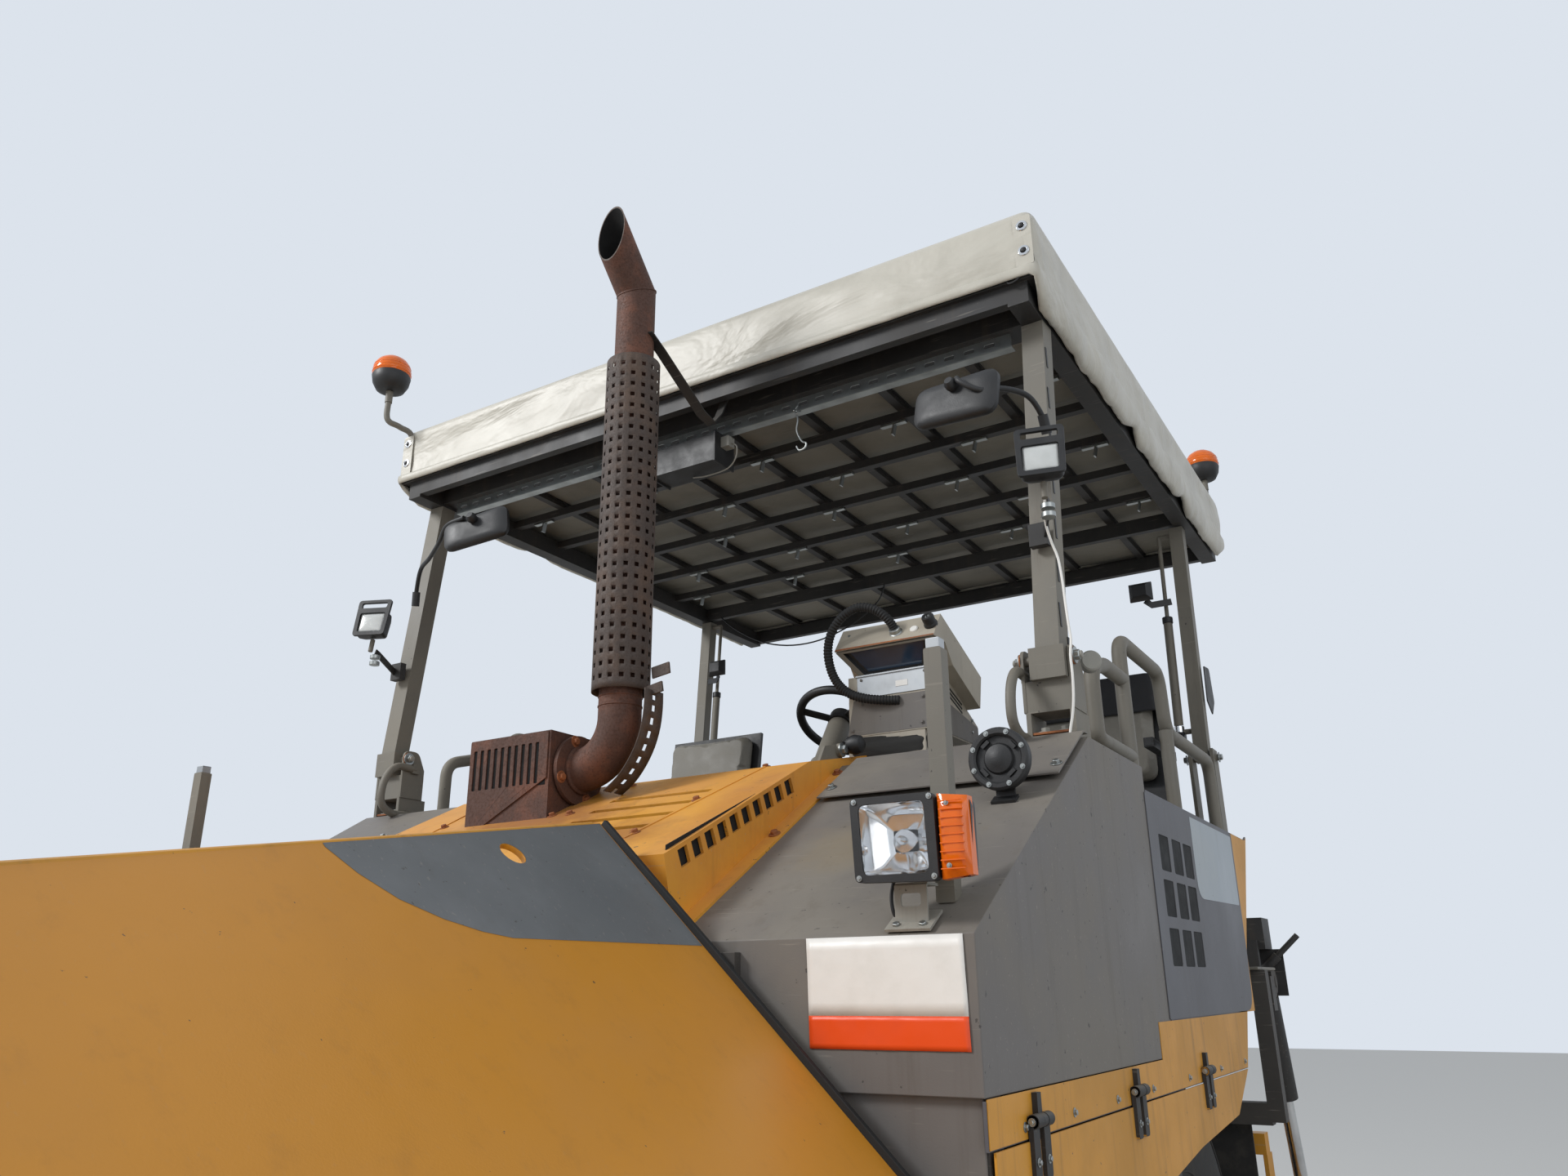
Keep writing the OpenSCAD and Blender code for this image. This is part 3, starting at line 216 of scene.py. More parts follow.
def wovenSheet(name, base, dirt, rough=0.7, thread=1.6, amount=0.4, fold=0.012):
    # coated or plain cloth: square weave, drawn about twice its real 1 mm so that it shows, and grime in soft clouds
    made, tree, shader, place = startMaterial(name)
    big = addNoise(tree, place, 3.2, 6, 0.62)
    colour = addMix(tree, addRange(tree, big, 0.42, 0.72, 0, amount, True), base, dirt)
    shader.inputs["Sheen Weight"].default_value = 0.1
    wave = {"Vector": place, "Scale": 500 / thread / 3.1416}
    threads = [addNode(tree, "ShaderNodeTexWave", wave, bands_direction=way).outputs["Fac"] for way in ("X", "Y")]
    bump = addBump(tree, addMath(tree, *threads, "ADD"), 0.2, 0.0004)
    creases = addNoise(tree, addMapping(tree, place, (2.2, 6, 5), (0.2, 0.3, 0.5)), 1, 4, distortion=0.6)
    return finished(made, shader, colour, rough, addBump(tree, creases, 0.8, fold, bump))


def polished(name, base, rough=0.2, metallic=1.0, grain=(4, 400, 4), depth=0.0001, clear=0.0, ior=None):
    # rolled, plated or cast and smooth: long fine lines from the roll or the tool
    made, tree, shader, place = startMaterial(name)
    lines = addNoise(tree, addMapping(tree, place, grain), 1, 4)
    cloud = addNoise(tree, place, 18, 4)
    deep = tuple(c * 0.78 for c in hexColour(base)[:3]) + (1,)
    colour = addMix(tree, addRange(tree, cloud, 0.4, 0.75), base, deep)
    shader.inputs["Metallic"].default_value = metallic
    shader.inputs["Transmission Weight"].default_value = clear
    if ior:
        shader.inputs["IOR"].default_value = ior
    gloss = addRange(tree, cloud, 0.3, 0.7, max(rough - 0.06, 0.02), rough + 0.08)
    return finished(made, shader, colour, gloss, addBump(tree, lines, 0.3, depth))


rustTone = "8A4A22"
yellowEnamel = weatheredPaint("yellowEnamel", "D2942F", "C08A36", wear=0.6)  # wings, flaps, screed
wingEnamel = weatheredPaint("wingEnamel", "D08D26", "CC8B2C", wear=0.15, streak=0.1, dust=0.1,
                            rough=(0.38, 0.5))  # fresher coat on the wings
hoodEnamel = weatheredPaint("hoodEnamel", "E7A338", "DB963A", wear=0.7, streak=0.2, stains=(
    ((-60, 330, 1990), (420, 260, 160), rustTone, 0.75), ((330, 150, 1920), (240, 170, 120), rustTone, 0.6),
    ((560, 300, 1990), (90, 420, 260), "A8581F", 0.35)))  # burnt-through top beside the stack
greyEnamel = weatheredPaint("greyEnamel", "6A6663", "757069", rough=(0.5, 0.7), wear=0.85, streak=0.3, stains=(
    ((900, 330, 1880), (260, 200, 120), "8A7650", 0.35),))  # cowls: satin grey, rubbed and overspray-stained
shadedSideGrey = weatheredPaint("shadedSideGrey", "55555A", "5C5C60", rough=(0.45, 0.62), wear=0.45, streak=0.2)  # side panels: the cowls' grey drawn darker and bluer, as painted shade
postGrey = weatheredPaint("postGrey", "6F6B62", "7A756A", rough=(0.5, 0.7), wear=0.5)  # posts and rails
blackEnamel = weatheredPaint("blackEnamel", "232222", "2E2C2A", rough=(0.45, 0.7), wear=0.5, dust=0.45)  # roof grid
frameEnamel = weatheredPaint("frameEnamel", "3E3B38", "4A4641", rough=(0.55, 0.8), wear=1.0, dirt="2A241F")  # chassis
decalGrey = weatheredPaint("decalGrey", "64696D", "70757A", rough=(0.45, 0.6), wear=0.8, streak=0.15)  # flat panel on the wing
creamEnamel = weatheredPaint("creamEnamel", "8E8D86", "9A978E", rough=(0.5, 0.7), wear=0.6)  # older light grey boxes
rustSteel = coarseMetal("rustSteel", "4E3328", "6B4230", "2B1F1A")  # exhaust: burnt, gritty brown scale
guardSteel = coarseMetal("guardSteel", "453A34", "574539", "2A2320", rough=(0.55, 0.85), grain=220, spread=0.35)
wornSteel = coarseMetal("wornSteel", "5B5550", "7A746C", "2C2825", rough=(0.35, 0.7), metallic=0.75, grain=90)  # asphalt-polished plate
tarSteel = coarseMetal("tarSteel", "262220", "3C3632", "15130F", rough=(0.5, 0.9), grain=60, bumpDepth=0.003)  # crusted with old mix
zincSteel = polished("zincSteel", "A9ACAA", 0.38, grain=(60, 60, 60))  # passivated bolts and rails: soft grey shine
brightSteel = polished("brightSteel", "D9DADB", 0.16)  # chromed rods
paleAlloy = weatheredPaint("paleAlloy", "A79F90", "B5AD9D", rough=(0.45, 0.6), wear=0.5, streak=0.25,
                           dirt="6B5140")  # console: dull painted alloy
aluminium = polished("aluminium", "B3B5B6", 0.36, grain=(300, 6, 6))  # rolled sheet, faint lines
blackPlastic = moulded("blackPlastic", "1C1C1D", "3A3A3A", 0.5)  # moulded nylon housings
tyreRubber = moulded("tyreRubber", "232221", "4A4640", 0.78, grain=160, depth=0.0008, amount=0.6)  # cured rubber, dusty
stripRubber = moulded("stripRubber", "141414", "2C2B2A", 0.7)  # edge trim and hoses
pvcCover = wovenSheet("pvcCover", "BDB9AD", "8F8A7C", rough=0.42, fold=0.03)  # coated polyester, greyed by weather
shadedLinerCloth = wovenSheet("shadedLinerCloth", "7A766B", "5E5B52", rough=0.8, amount=0.6, fold=0.02)  # its underside, drawn darker than the top as painted shade
seatVinyl = moulded("seatVinyl", "77736A", "8B877D", 0.55, grain=260, depth=0.0006, amount=0.5)  # embossed vinyl
gaiterCloth = wovenSheet("gaiterCloth", "262523", "3A3834", rough=0.85, fold=0.03)  # rubberised fabric boot
mirrorGlass = polished("mirrorGlass", "E8ECEF", 0.03, depth=0.00001)  # silvered glass
lampGlass = polished("lampGlass", "FFFFFF", 0.03, metallic=0, clear=1.0, ior=1.5, depth=0.00005)  # pressed clear lens
lampMirror = polished("lampMirror", "F2F3F4", 0.1, grain=(30, 30, 30))  # aluminised bowl
amberLens = polished("amberLens", "FF7A12", 0.12, metallic=0, clear=0.25, ior=1.49)  # moulded acrylic
redLens = polished("redLens", "C4201A", 0.15, metallic=0, clear=0.4, ior=1.49)
screenTintSkyReflection = polished("screenTintSkyReflection", "2A3C52", 0.1, metallic=0, ior=1.5)  # tinted panel; its blue is a painted reflection of the sky
paperWhite = moulded("paperWhite", "EFEDE8", "DAD7CF", 0.35, grain=40, depth=0.0008)  # printed film, slightly crinkled
paperOrange = moulded("paperOrange", "F0521C", "E04A18", 0.35, grain=40, depth=0.0008)
patchBlue = weatheredPaint("patchBlue", "9DA6AD", "A9B0B4", rough=(0.4, 0.6), wear=0.3, streak=0.15)  # pale panel by the vents
sootAndShadeBlack = moulded("sootAndShadeBlack", "060505", "0D0B0A", 0.95, amount=0.2)  # soot inside the exhaust; the cap deep in the pipe and the sheet in the box's slots are painted shade
hoodFabric = moulded("hoodFabric", "1B1B1D", "2E2E30", 0.75, grain=300)  # black head covers of the seats
openingShade = moulded("openingShade", "0D0D0D", "161616", 0.8)  # painted shade: matt black standing for the shade inside openings
copperRust = coarseMetal("copperRust", "8A5230", "A8683A", "4A2C1C")  # rusted bolt heads
oilSteel = coarseMetal("oilSteel", "2A2725", "3B3733", "171513", rough=(0.4, 0.7), metallic=0.4)

nodeFinish = {
    "main_frame": frameEnamel, "conveyors": wornSteel, "push_beam": yellowEnamel, "engine_block": oilSteel,
    "front_cowls": greyEnamel, "side_shells": shadedSideGrey, "hood": hoodEnamel, "exhaust_stack": rustSteel,
    "exhaust_guard": guardSteel, "operator_deck": postGrey, "console": paleAlloy, "steering_wheel": blackPlastic,
    "seat_frames": blackPlastic, "seat_cushions": seatVinyl, "guard_rails": postGrey, "front_bogies": frameEnamel,
    "rear_axle": frameEnamel, "flap_hinges": blackEnamel, "mudflaps": tyreRubber, "canopy_posts": postGrey,
    "roof_grid": blackEnamel, "hopper_base": frameEnamel, "outriggers": frameEnamel, "frame_brackets": frameEnamel, "rear_box": blackEnamel,
    "canopy_cover": pvcCover, "lamps": blackPlastic, "mirrors": blackPlastic, "beacons": amberLens,
    "auger_frame": yellowEnamel, "tow_arms": yellowEnamel, "screed_body": yellowEnamel,
    "lift_barrels": blackEnamel, "lift_rods": brightSteel}
for side in ("l", "r"):
    nodeFinish.update({"push_roller_" + side: wornSteel, "wing_" + side: wingEnamel, "wing_barrel_" + side: blackEnamel,
                       "wing_rod_" + side: brightSteel, "side_flap_" + side: yellowEnamel, "auger_" + side: tarSteel,
                       "screed_extension_" + side: yellowEnamel, "rear_rim_" + side: yellowEnamel,
                       "rear_tyre_" + side: tyreRubber})
    for n in ("1", "2"):
        nodeFinish.update({"knuckle_" + side + n: frameEnamel, "front_wheel_" + side + n: tyreRubber})
for name, made in nodeFinish.items():
    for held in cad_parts[name].material_slots:
        held.material = made
print("stage: materials on", len(nodeFinish), "CAD nodes")


# shaping tools: each adds to a bmesh in metres, finish is the material's place in the piece
def turnMatrix(turn):  # degrees about x, then y, then z
    return (Matrix.Rotation(math.radians(turn[2]), 4, "Z") @ Matrix.Rotation(math.radians(turn[1]), 4, "Y")
            @ Matrix.Rotation(math.radians(turn[0]), 4, "X"))


def addBox(bm, x, y, z, finish=0, turn=(0, 0, 0)):
    low, high = spot(x[0], y[0], z[0]), spot(x[1], y[1], z[1])
    turned = Matrix.LocRotScale((low + high) / 2, Matrix.Rotation(0, 3, "X"), high - low)
    if any(turn):
        turned = Matrix.Translation((low + high) / 2) @ turnMatrix(turn) @ Matrix.Diagonal((high - low).to_4d())
    made = bmesh.ops.create_cube(bm, size=1, matrix=turned)["verts"]
    for f in {f for v in made for f in v.link_faces}:
        f.material_index = finish


def addRings(bm, rings, finish=0, closed=False, ends=True):  # joins loops of points into a skin
    loops = [[bm.verts.new(p) for p in ring] for ring in rings]
    count = len(loops[0])
    pairs = list(zip(loops, loops[1:])) + ([(loops[-1], loops[0])] if closed else [])
    made = [bm.faces.new((a[i], a[(i + 1) % count], b[(i + 1) % count], b[i])) for a, b in pairs for i in range(count)]
    if ends and not closed:
        made += [bm.faces.new(loops[0][::-1]), bm.faces.new(loops[-1])]
    for f in made:
        f.material_index = finish


def addGrid(bm, rows, finish=0):  # joins rows of points into an open skin
    for a, b in zip(rows, rows[1:]):
        for i in range(len(a) - 1):
            bm.faces.new((a[i], a[i + 1], b[i + 1], b[i])).material_index = finish


def turnedFrame(axis):
    axis = axis.normalized()
    side = axis.orthogonal().normalized()
    return side, axis.cross(side)


def addLathe(bm, foot, axis, profile, finish=0, sides=32, start=0, ends=True):  # profile: radius, height in mm
    a, b = turnedFrame(axis)
    axis = axis.normalized()
    turns = [(math.cos(t), math.sin(t)) for t in (start + i * math.tau / sides for i in range(sides))]
    addRings(bm, [[foot + axis * h / 1000 + (a * c + b * s) * max(r, 0.01) / 1000 for c, s in turns] for r, h in profile],
             finish, ends=ends)


def addRod(bm, p, q, width, finish=0, sides=20):
    addLathe(bm, p, q - p, [(width / 2, 0), (width / 2, (q - p).length * 1000)], finish, sides)


def smoothPath(points, steps=6):  # a rounded line through the points
    ends = [points[0] * 2 - points[1]] + list(points) + [points[-1] * 2 - points[-2]]
    path = []
    for a, b, c, d in zip(ends, ends[1:], ends[2:], ends[3:]):
        for i in range(steps):
            t = i / steps
            path.append(0.5 * (2 * b + (c - a) * t + (2 * a - 5 * b + 4 * c - d) * t * t + (3 * b - a - 3 * c + d) * t ** 3))
    return path + [points[-1]]


def addTube(bm, path, width, finish=0, sides=12, closed=False, flat=None, ribs=None):
    tangents = [(path[min(i + 1, len(path) - 1)] - path[max(i - 1, 0)]).normalized() for i in range(len(path))]
    if closed:
        tangents = [(path[(i + 1) % len(path)] - path[i - 1]).normalized() for i in range(len(path))]
    side = tangents[0].orthogonal().normalized() if flat is None else flat[1].normalized()
    rings = []
    for i, (p, t) in enumerate(zip(path, tangents)):
        side = (side - t * side.dot(t)).normalized()
        other = t.cross(side)
        if flat is None:
            r = width / 2000 * (1 if ribs is None or i % 2 else ribs)
            rings.append([p + (side * math.cos(k * math.tau / sides) + other * math.sin(k * math.tau / sides)) * r for k in range(sides)])
        else:
            w, h = width / 2000, flat[0] / 2000
            rings.append([p + side * w * a + other * h * b for a, b in ((-1, -1), (1, -1), (1, 1), (-1, 1))])
    addRings(bm, rings, finish, closed)


def addRoute(bm, points, width, finish=0, sides=12, steps=6):  # a round cable or rod through stations
    addTube(bm, smoothPath([spot(*p) for p in points], steps), width, finish, sides)


def addStepped(bm, x, y, z, wide, tall, sections, finish=0):  # a box whose size changes along y
    corners = ((-1, -1), (1, -1), (1, 1), (-1, 1))
    addRings(bm, [[spot(x + a * wide * k, y + d, z + b * tall * k) for a, b in corners] for d, k in sections], finish)


def bentPath(points, radius, steps=6):  # straight runs joined by bends, as a tube bender leaves them
    path = [points[0]]
    for a, p, b in zip(points, points[1:], points[2:]):
        back, on = a - p, b - p
        cut = min(radius / 1000 / math.tan(back.angle(on) / 2), back.length * 0.49, on.length * 0.49)
        q, r = p + back.normalized() * cut, p + on.normalized() * cut
        path += [q.lerp(p, t).lerp(p.lerp(r, t), t) for t in (k / steps for k in range(steps + 1))]
    return path + [points[-1]]


def rounded(outline, radius, steps=4):
    made, count = [], len(outline)
    for i, corner in enumerate(outline):
        p = Vector(corner[:2])
        before, after = Vector(outline[i - 1][:2]) - p, Vector(outline[(i + 1) % count][:2]) - p
        r = corner[2] if len(corner) > 2 else radius
        if r <= 0:
            made.append(p)
            continue
        cut = min(r / math.tan(before.angle(after) / 2), before.length * 0.49, after.length * 0.49)
        a, b = p + before.normalized() * cut, p + after.normalized() * cut
        made += [a.lerp(p, t).lerp(p.lerp(b, t), t) for t in (k / steps for k in range(steps + 1))]
    return made


def oblong(x0, y0, x1, y1, *radius):
    return [(x0, y0) + radius, (x1, y0) + radius, (x1, y1) + radius, (x0, y1) + radius]


def around(angle, reach):  # a step away from an axis that runs along x
    return Vector((0, math.cos(angle), math.sin(angle))) * reach


def addPlate(bm, place, outline, thick, holes=(), finish=0, radius=0):  # place: matrix from flat mm to metres
    edges, made = [], []
    for loop in (outline,) + tuple(holes):
        points = rounded(loop, radius) if radius or len(loop[0]) > 2 else [Vector(p) for p in loop]
        ring = [bm.verts.new(place @ Vector((p[0], p[1], 0))) for p in points]
        edges += [bm.edges.new((ring[i - 1], ring[i])) for i in range(len(ring))]
    faces = [g for g in bmesh.ops.triangle_fill(bm, edges=edges, use_beauty=True)["geom"] if isinstance(g, bmesh.types.BMFace)]
    shift = place.to_3x3() @ Vector((0, 0, thick))
    grown = bmesh.ops.extrude_face_region(bm, geom=faces, use_keep_orig=True)["geom"]
    for g in grown:
        if isinstance(g, bmesh.types.BMVert):
            g.co += shift
    made = set(faces) | {g for g in grown if isinstance(g, bmesh.types.BMFace)}
    made |= {f for v in grown if isinstance(v, bmesh.types.BMVert) for f in v.link_faces}
    for f in made:
        f.material_index = finish


def flatPlace(origin, across, upward):  # flat x runs along across, flat y along upward, thickness toward their normal
    across = across.normalized()
    normal = across.cross(upward).normalized()
    return Matrix.Translation(origin) @ Matrix((across, normal.cross(across), normal)).transposed().to_4x4() @ Matrix.Scale(0.001, 4)


def addBolt(bm, foot, axis, size=16, finish=0):  # washer and hexagon head
    addLathe(bm, foot, axis, [(size * 0.95, 0), (size * 0.95, size * 0.14)], finish, 18)
    addLathe(bm, foot, axis, [(size * 0.58, size * 0.1), (size * 0.58, size * 0.58), (size * 0.5, size * 0.66)], finish, 6, random.random())


def soften(piece, width, angle):  # rounds the sharp edges, width in mm
    soft = piece.modifiers.new("softEdge", "BEVEL")
    soft.width, soft.segments, soft.limit_method, soft.angle_limit = width / 1000, 2, "ANGLE", math.radians(angle)
    soft.harden_normals = True


def makePiece(name, bm, finishes, body="tractor", edge=1.5, mirror=False, standsFor=(), thick=0, angle=35):
    if mirror:
        copy = bmesh.ops.duplicate(bm, geom=bm.verts[:] + bm.edges[:] + bm.faces[:])["geom"]
        for v in (g for g in copy if isinstance(g, bmesh.types.BMVert)):
            v.co.x *= -1
    bmesh.ops.recalc_face_normals(bm, faces=bm.faces[:])
    mesh = bpy.data.meshes.new(name)
    bm.to_mesh(mesh)
    bm.free()
    for made in finishes:
        mesh.materials.append(made)
    mesh.polygons.foreach_set("use_smooth", [True] * len(mesh.polygons))
    mesh.set_sharp_from_angle(angle=math.radians(angle))
    piece = bpy.data.objects.new(name, mesh)
    bpy.context.collection.objects.link(piece)
    if thick:
        piece.modifiers.new("thickness", "SOLIDIFY").thickness = thick / 1000
    if edge:
        soften(piece, edge, angle)
    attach(piece, body)
    if standsFor:
        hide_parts(*standsFor)
    return piece


alongX, alongY, alongZ = Vector((1, 0, 0)), Vector((0, 1, 0)), Vector((0, 0, 1))

# canopy cover: one coated sheet over the roof grid with its sides wrapped down and hemmed in
coverSet = {"x": 1245, "y": (734, 3116), "low": 3420, "top": 3614, "round": 32, "sag": 10, "wave": 13, "hem": 30, "step": 42,
            "bars": (754, 870, 1240, 1500, 1765, 2050, 2330, 2600, 3066, 3096)}


def barSag(y):
    for a, b in zip(coverSet["bars"], coverSet["bars"][1:]):
        if a <= y <= b:
            return math.sin(math.pi * (y - a) / (b - a)) * min(1, (b - a) / 250)
    return 0


def gridLine(low, high, inset):
    count = max(2, round((high - low - 2 * inset[-1]) / coverSet["step"]))
    middle = [low + inset[-1] + (high - low - 2 * inset[-1]) * i / count for i in range(1, count)]
    return [low + d for d in inset] + middle + [high - d for d in reversed(inset)]


def makeCover():
    c, bm = coverSet, bmesh.new()
    r = c["round"]
    inset = [r * (1 - math.cos(math.radians(a))) for a in (0, 22.5, 45, 67.5, 90)]
    xs, ys = gridLine(-c["x"], c["x"], inset), gridLine(*c["y"], inset)
    normals, grid = {}, []
    for x in xs:
        row = []
        for y in ys:
            dx, dy = max(0, r - (c["x"] - abs(x))), max(0, r - min(y - c["y"][0], c["y"][1] - y))
            far = math.hypot(dx, dy)
            k = min(1, r / far) if far else 1
            sx, sy = math.copysign(1, x), (-1 if y < 1900 else 1)
            px, py = x - sx * dx * (1 - k), y - sy * dy * (1 - k)
            z = c["top"] - r + math.sqrt(max(0, r * r - (far * k) ** 2))
            z += (noise.noise(Vector((x, y, 0)) / 260) * 5 - c["sag"] * barSag(y)) * min(1, (c["top"] - 0.5 < z) + 0.15)
            v = bm.verts.new(spot(px, py, z))
            normals[v] = Vector((sx * dx, sy * dy, 0)).normalized() if far else Vector()
            row.append(v)
        grid.append(row)
    for a, b in zip(grid, grid[1:]):
        for i in range(len(a) - 1):
            bm.faces.new((a[i], b[i], b[i + 1], a[i + 1]))
    rim = [row[0] for row in grid] + grid[-1][1:] + [row[-1] for row in grid[-2::-1]] + grid[0][-2:0:-1]
    loop, tall = rim, c["top"] - r - c["low"]
    turns = [(k / 9, 0) for k in range(1, 10)] + [(1.0, c["hem"] * 0.4), (0.985, c["hem"])]
    for down, back in turns:
        fresh = []
        for v in rim:
            out = normals[v]
            s = v.co.x * 2.3 + v.co.y * 2.9
            fold = noise.noise(Vector((s + down * 0.9, v.co.x - v.co.y, down * 1.3))) * c["wave"]
            fold += noise.noise(Vector((s * 4.5, down * 2.2, 7))) * c["wave"] * 0.4
            lower = noise.noise(Vector((s * 1.4, 3, 1))) * 7 * down
            fresh.append(bm.verts.new(v.co + (out * (fold * math.sin(math.pi * min(1, 0.12 + down * 0.8)) * 0.9 - back)
                                              + alongZ * (lower - tall * down)) / 1000))
        for i in range(len(rim)):
            bm.faces.new((loop[i - 1], loop[i], fresh[i], fresh[i - 1]))
        loop = fresh
    return makePiece("canopyCover", bm, [pvcCover], edge=0, standsFor=("canopy_cover",), thick=1.6, angle=80)


def makeLining():  # underside seen between the bars, each bay hanging a little
    bm = bmesh.new()
    xs = [-1236 + 2472 * i / 72 for i in range(73)]
    ys = [742 + 2366 * i / 84 for i in range(85)]
    grid = []
    for x in xs:
        across = abs(math.sin(math.pi * x / 300)) if abs(x) < 900 else abs(math.sin(math.pi * (abs(x) - 900) / 336))
        grid.append([bm.verts.new(spot(x, y, 3423 + 12 * across * barSag(y) + 3 * noise.noise(Vector((x, y, 9)) / 120))) for y in ys])
    addGrid(bm, grid)
    # painted shade: the underside's cloth is darker than the top's
    return makePiece("coverLining", bm, [shadedLinerCloth], edge=0, angle=80)


def makeHem():  # the loose edge: wrapped under the side rails and pinched by its ties, rolled small at front and rear
    c, bm, rings = coverSet, bmesh.new(), []
    corners = [(c["x"] + 1, c["y"][0] - 3), (c["x"] + 1, c["y"][1] + 3), (-1 - c["x"], c["y"][1] + 3), (-1 - c["x"], c["y"][0] - 3)]
    wrap = [(2, 20), (7, -5), (8, -30), (5, -56), (-4, -78), (-16, -89), (-28, -84), (-29, -68), (-22, -70), (-13, -80),
            (-3, -64), (0, -20)]
    for n, (a, b) in enumerate(zip(corners, corners[1:] + corners[:1])):
        a, b = Vector(a), Vector(b)
        along = (b - a).normalized()
        out, count = Vector((along.y, -along.x)), round((b - a).length / 22)
        for i in range(count):
            p, s = a + (b - a) * i / count, (b - a).length * i / count
            near = Vector((p.x, p.y, 4 * n)) / 130
            tied = min(abs(s - t) for t in (-200, 980, 1660, 2600))
            full = (1 - 0.45 * math.exp(-(tied / 60) ** 2)) * min(1, (i + 1) / 5, (count - i + 1) / 5) if n in (0, 2) else 0
            ring = []
            for k, (w, h) in enumerate(wrap):
                angle = math.radians(80 - 30 * k)
                small = (7 * math.cos(angle), -8 + 16 * math.sin(angle))
                crease = 5 * noise.noise(near * 3 + Vector((0, 0, k * 0.35))) + 5 * noise.noise(near)
                w, h = small[0] + (w - small[0]) * full + crease * 0.7 * (0.4 + full), small[1] + (h - small[1]) * full + crease * full
                q = p + out * w
                ring.append(spot(q.x, q.y, c["low"] + h))
            rings.append(ring)
    addRings(bm, rings, 0, closed=True, ends=False)
    return makePiece("coverHem", bm, [pvcCover], edge=0, angle=80)


cover, lining, hem = makeCover(), makeLining(), makeHem()

bm = bmesh.new()  # stiff corner strip with two eyelets, and the black hooks that tie the hem down
for side in (1, -1):
    addPlate(bm, flatPlace(spot(side * 1216, 731, 3426), alongX, alongZ), [(-25, 0, 6), (26, 0, 6), (26, 158, 10), (-25, 158, 10)], 1.5)
    for z in (3472, 3552):
        eyelet, at = [(8, -3), (15, -3), (16.5, 0), (15, 2.5), (9, 3), (7, 0), (7, -3)], spot(side * 1216, 729, z)
        addLathe(bm, at, -alongY, eyelet, 1, 28, ends=False)
        addLathe(bm, at, -alongY, [(7, -1), (6, 5), (3, 7), (0.1, 7)], 2, 20)
makePiece("coverCorners", bm, [pvcCover, brightSteel, blackPlastic], edge=0.4)
bm = bmesh.new()
for side in (1, -1):
    for y in (1700, 2290, 2960):
        loop = ((1206, 0, 3392), (1206, 0, 3362), (1196, 6, 3344), (1176, 8, 3352))
        addRoute(bm, [(side * across, y + on, z) for across, on, z in loop], 7, 0, 8)
        addLathe(bm, spot(side * 1206, y, 3376), alongZ, [(0.1, -8), (8, -4), (8, 4), (0.1, 8)], 0, 14)
addRoute(bm, [(1205, 735, 3412), (1190, 733, 3392), (1168, 735, 3388), (1158, 738, 3402), (1172, 741, 3418)], 5, 0, 8)
makePiece("coverTies", bm, [blackPlastic], edge=0)

# roof grid: slotted rail, lamp box, clips and hook
roofSet = {"rail": (-1105, 1105, 3300, 3346), "slot": 62, "box": ((-138, 118), (852, 950), (3188, 3284)), "clipGap": 520}
bm = bmesh.new()
x0, x1, z0, z1 = roofSet["rail"]
slots = tuple(oblong(x, 14, x + 32, 26, 5) for x in range(20, int(x1 - x0) - 40, roofSet["slot"]))
addPlate(bm, flatPlace(spot(x0, 898.5, z0), alongX, alongZ), oblong(0, 0, x1 - x0, z1 - z0), 2.5, slots)
addBox(bm, (x0, x1), (896, 927), (z0 - 3, z0))
makePiece("slottedRail", bm, [zincSteel], edge=0.5)
bm = bmesh.new()
addBox(bm, *roofSet["box"])
for x in (-138, 118):
    addBox(bm, (x - 3, x + 3), (846, 956), (3182, 3290))
addBox(bm, (-100, -60), (890, 930), (3284, 3300))
addBox(bm, (60, 90), (890, 930), (3284, 3300))
addBox(bm, (121, 152), (878, 912), (3240, 3276), 1)
addRoute(bm, [(150, 895, 3255), (172, 895, 3236), (160, 905, 3200), (120, 915, 3178), (40, 920, 3176),
              (-20, 925, 3186)], 5, 1, 8)
makePiece("roofLampBox", bm, [blackPlastic, creamEnamel], edge=3)
bm = bmesh.new()
addRoute(bm, [(400, 897, 3318), (392, 893, 3300), (401, 895, 3270), (397, 895, 3230), (414, 895, 3190),
              (430, 895, 3178), (424, 895, 3162), (405, 895, 3160), (395, 895, 3176)], 6, 0, 8)
addRoute(bm, [(388, 890, 3300), (405, 905, 3296), (404, 889, 3288), (390, 900, 3282)], 5, 0, 8)
for n, y in enumerate((1255, 1515, 1780, 2065, 2345)):
    for x in range(-1000 + (n % 2) * 180, 1100, roofSet["clipGap"]):
        addBox(bm, (x - 46, x + 46), (y - 9, y + 9), (3361, 3368.6))
        addBox(bm, (x - 3, x + 3), (y - 10, y + 10), (3326, 3361), turn=(0, 12, 0))
makePiece("roofClips", bm, [zincSteel], edge=0.6)
bm = bmesh.new()
for x in (-900, -600, -300, 0, 300, 600, 900):  # seams of the lining where the bars hold it
    addBox(bm, (x - 21, x + 21), (760, 3090), (3418.6, 3421))
makePiece("liningTape", bm, [blackEnamel], edge=0)
print("stage: canopy")

# exhaust: perforated guard, weld beads, elbow shield, box slots and the flat brace
stackSet = {"x": 105, "y": 450, "guard": 78, "low": 2338, "high": 3330, "rows": 28, "turns": 16, "hole": 12.5}


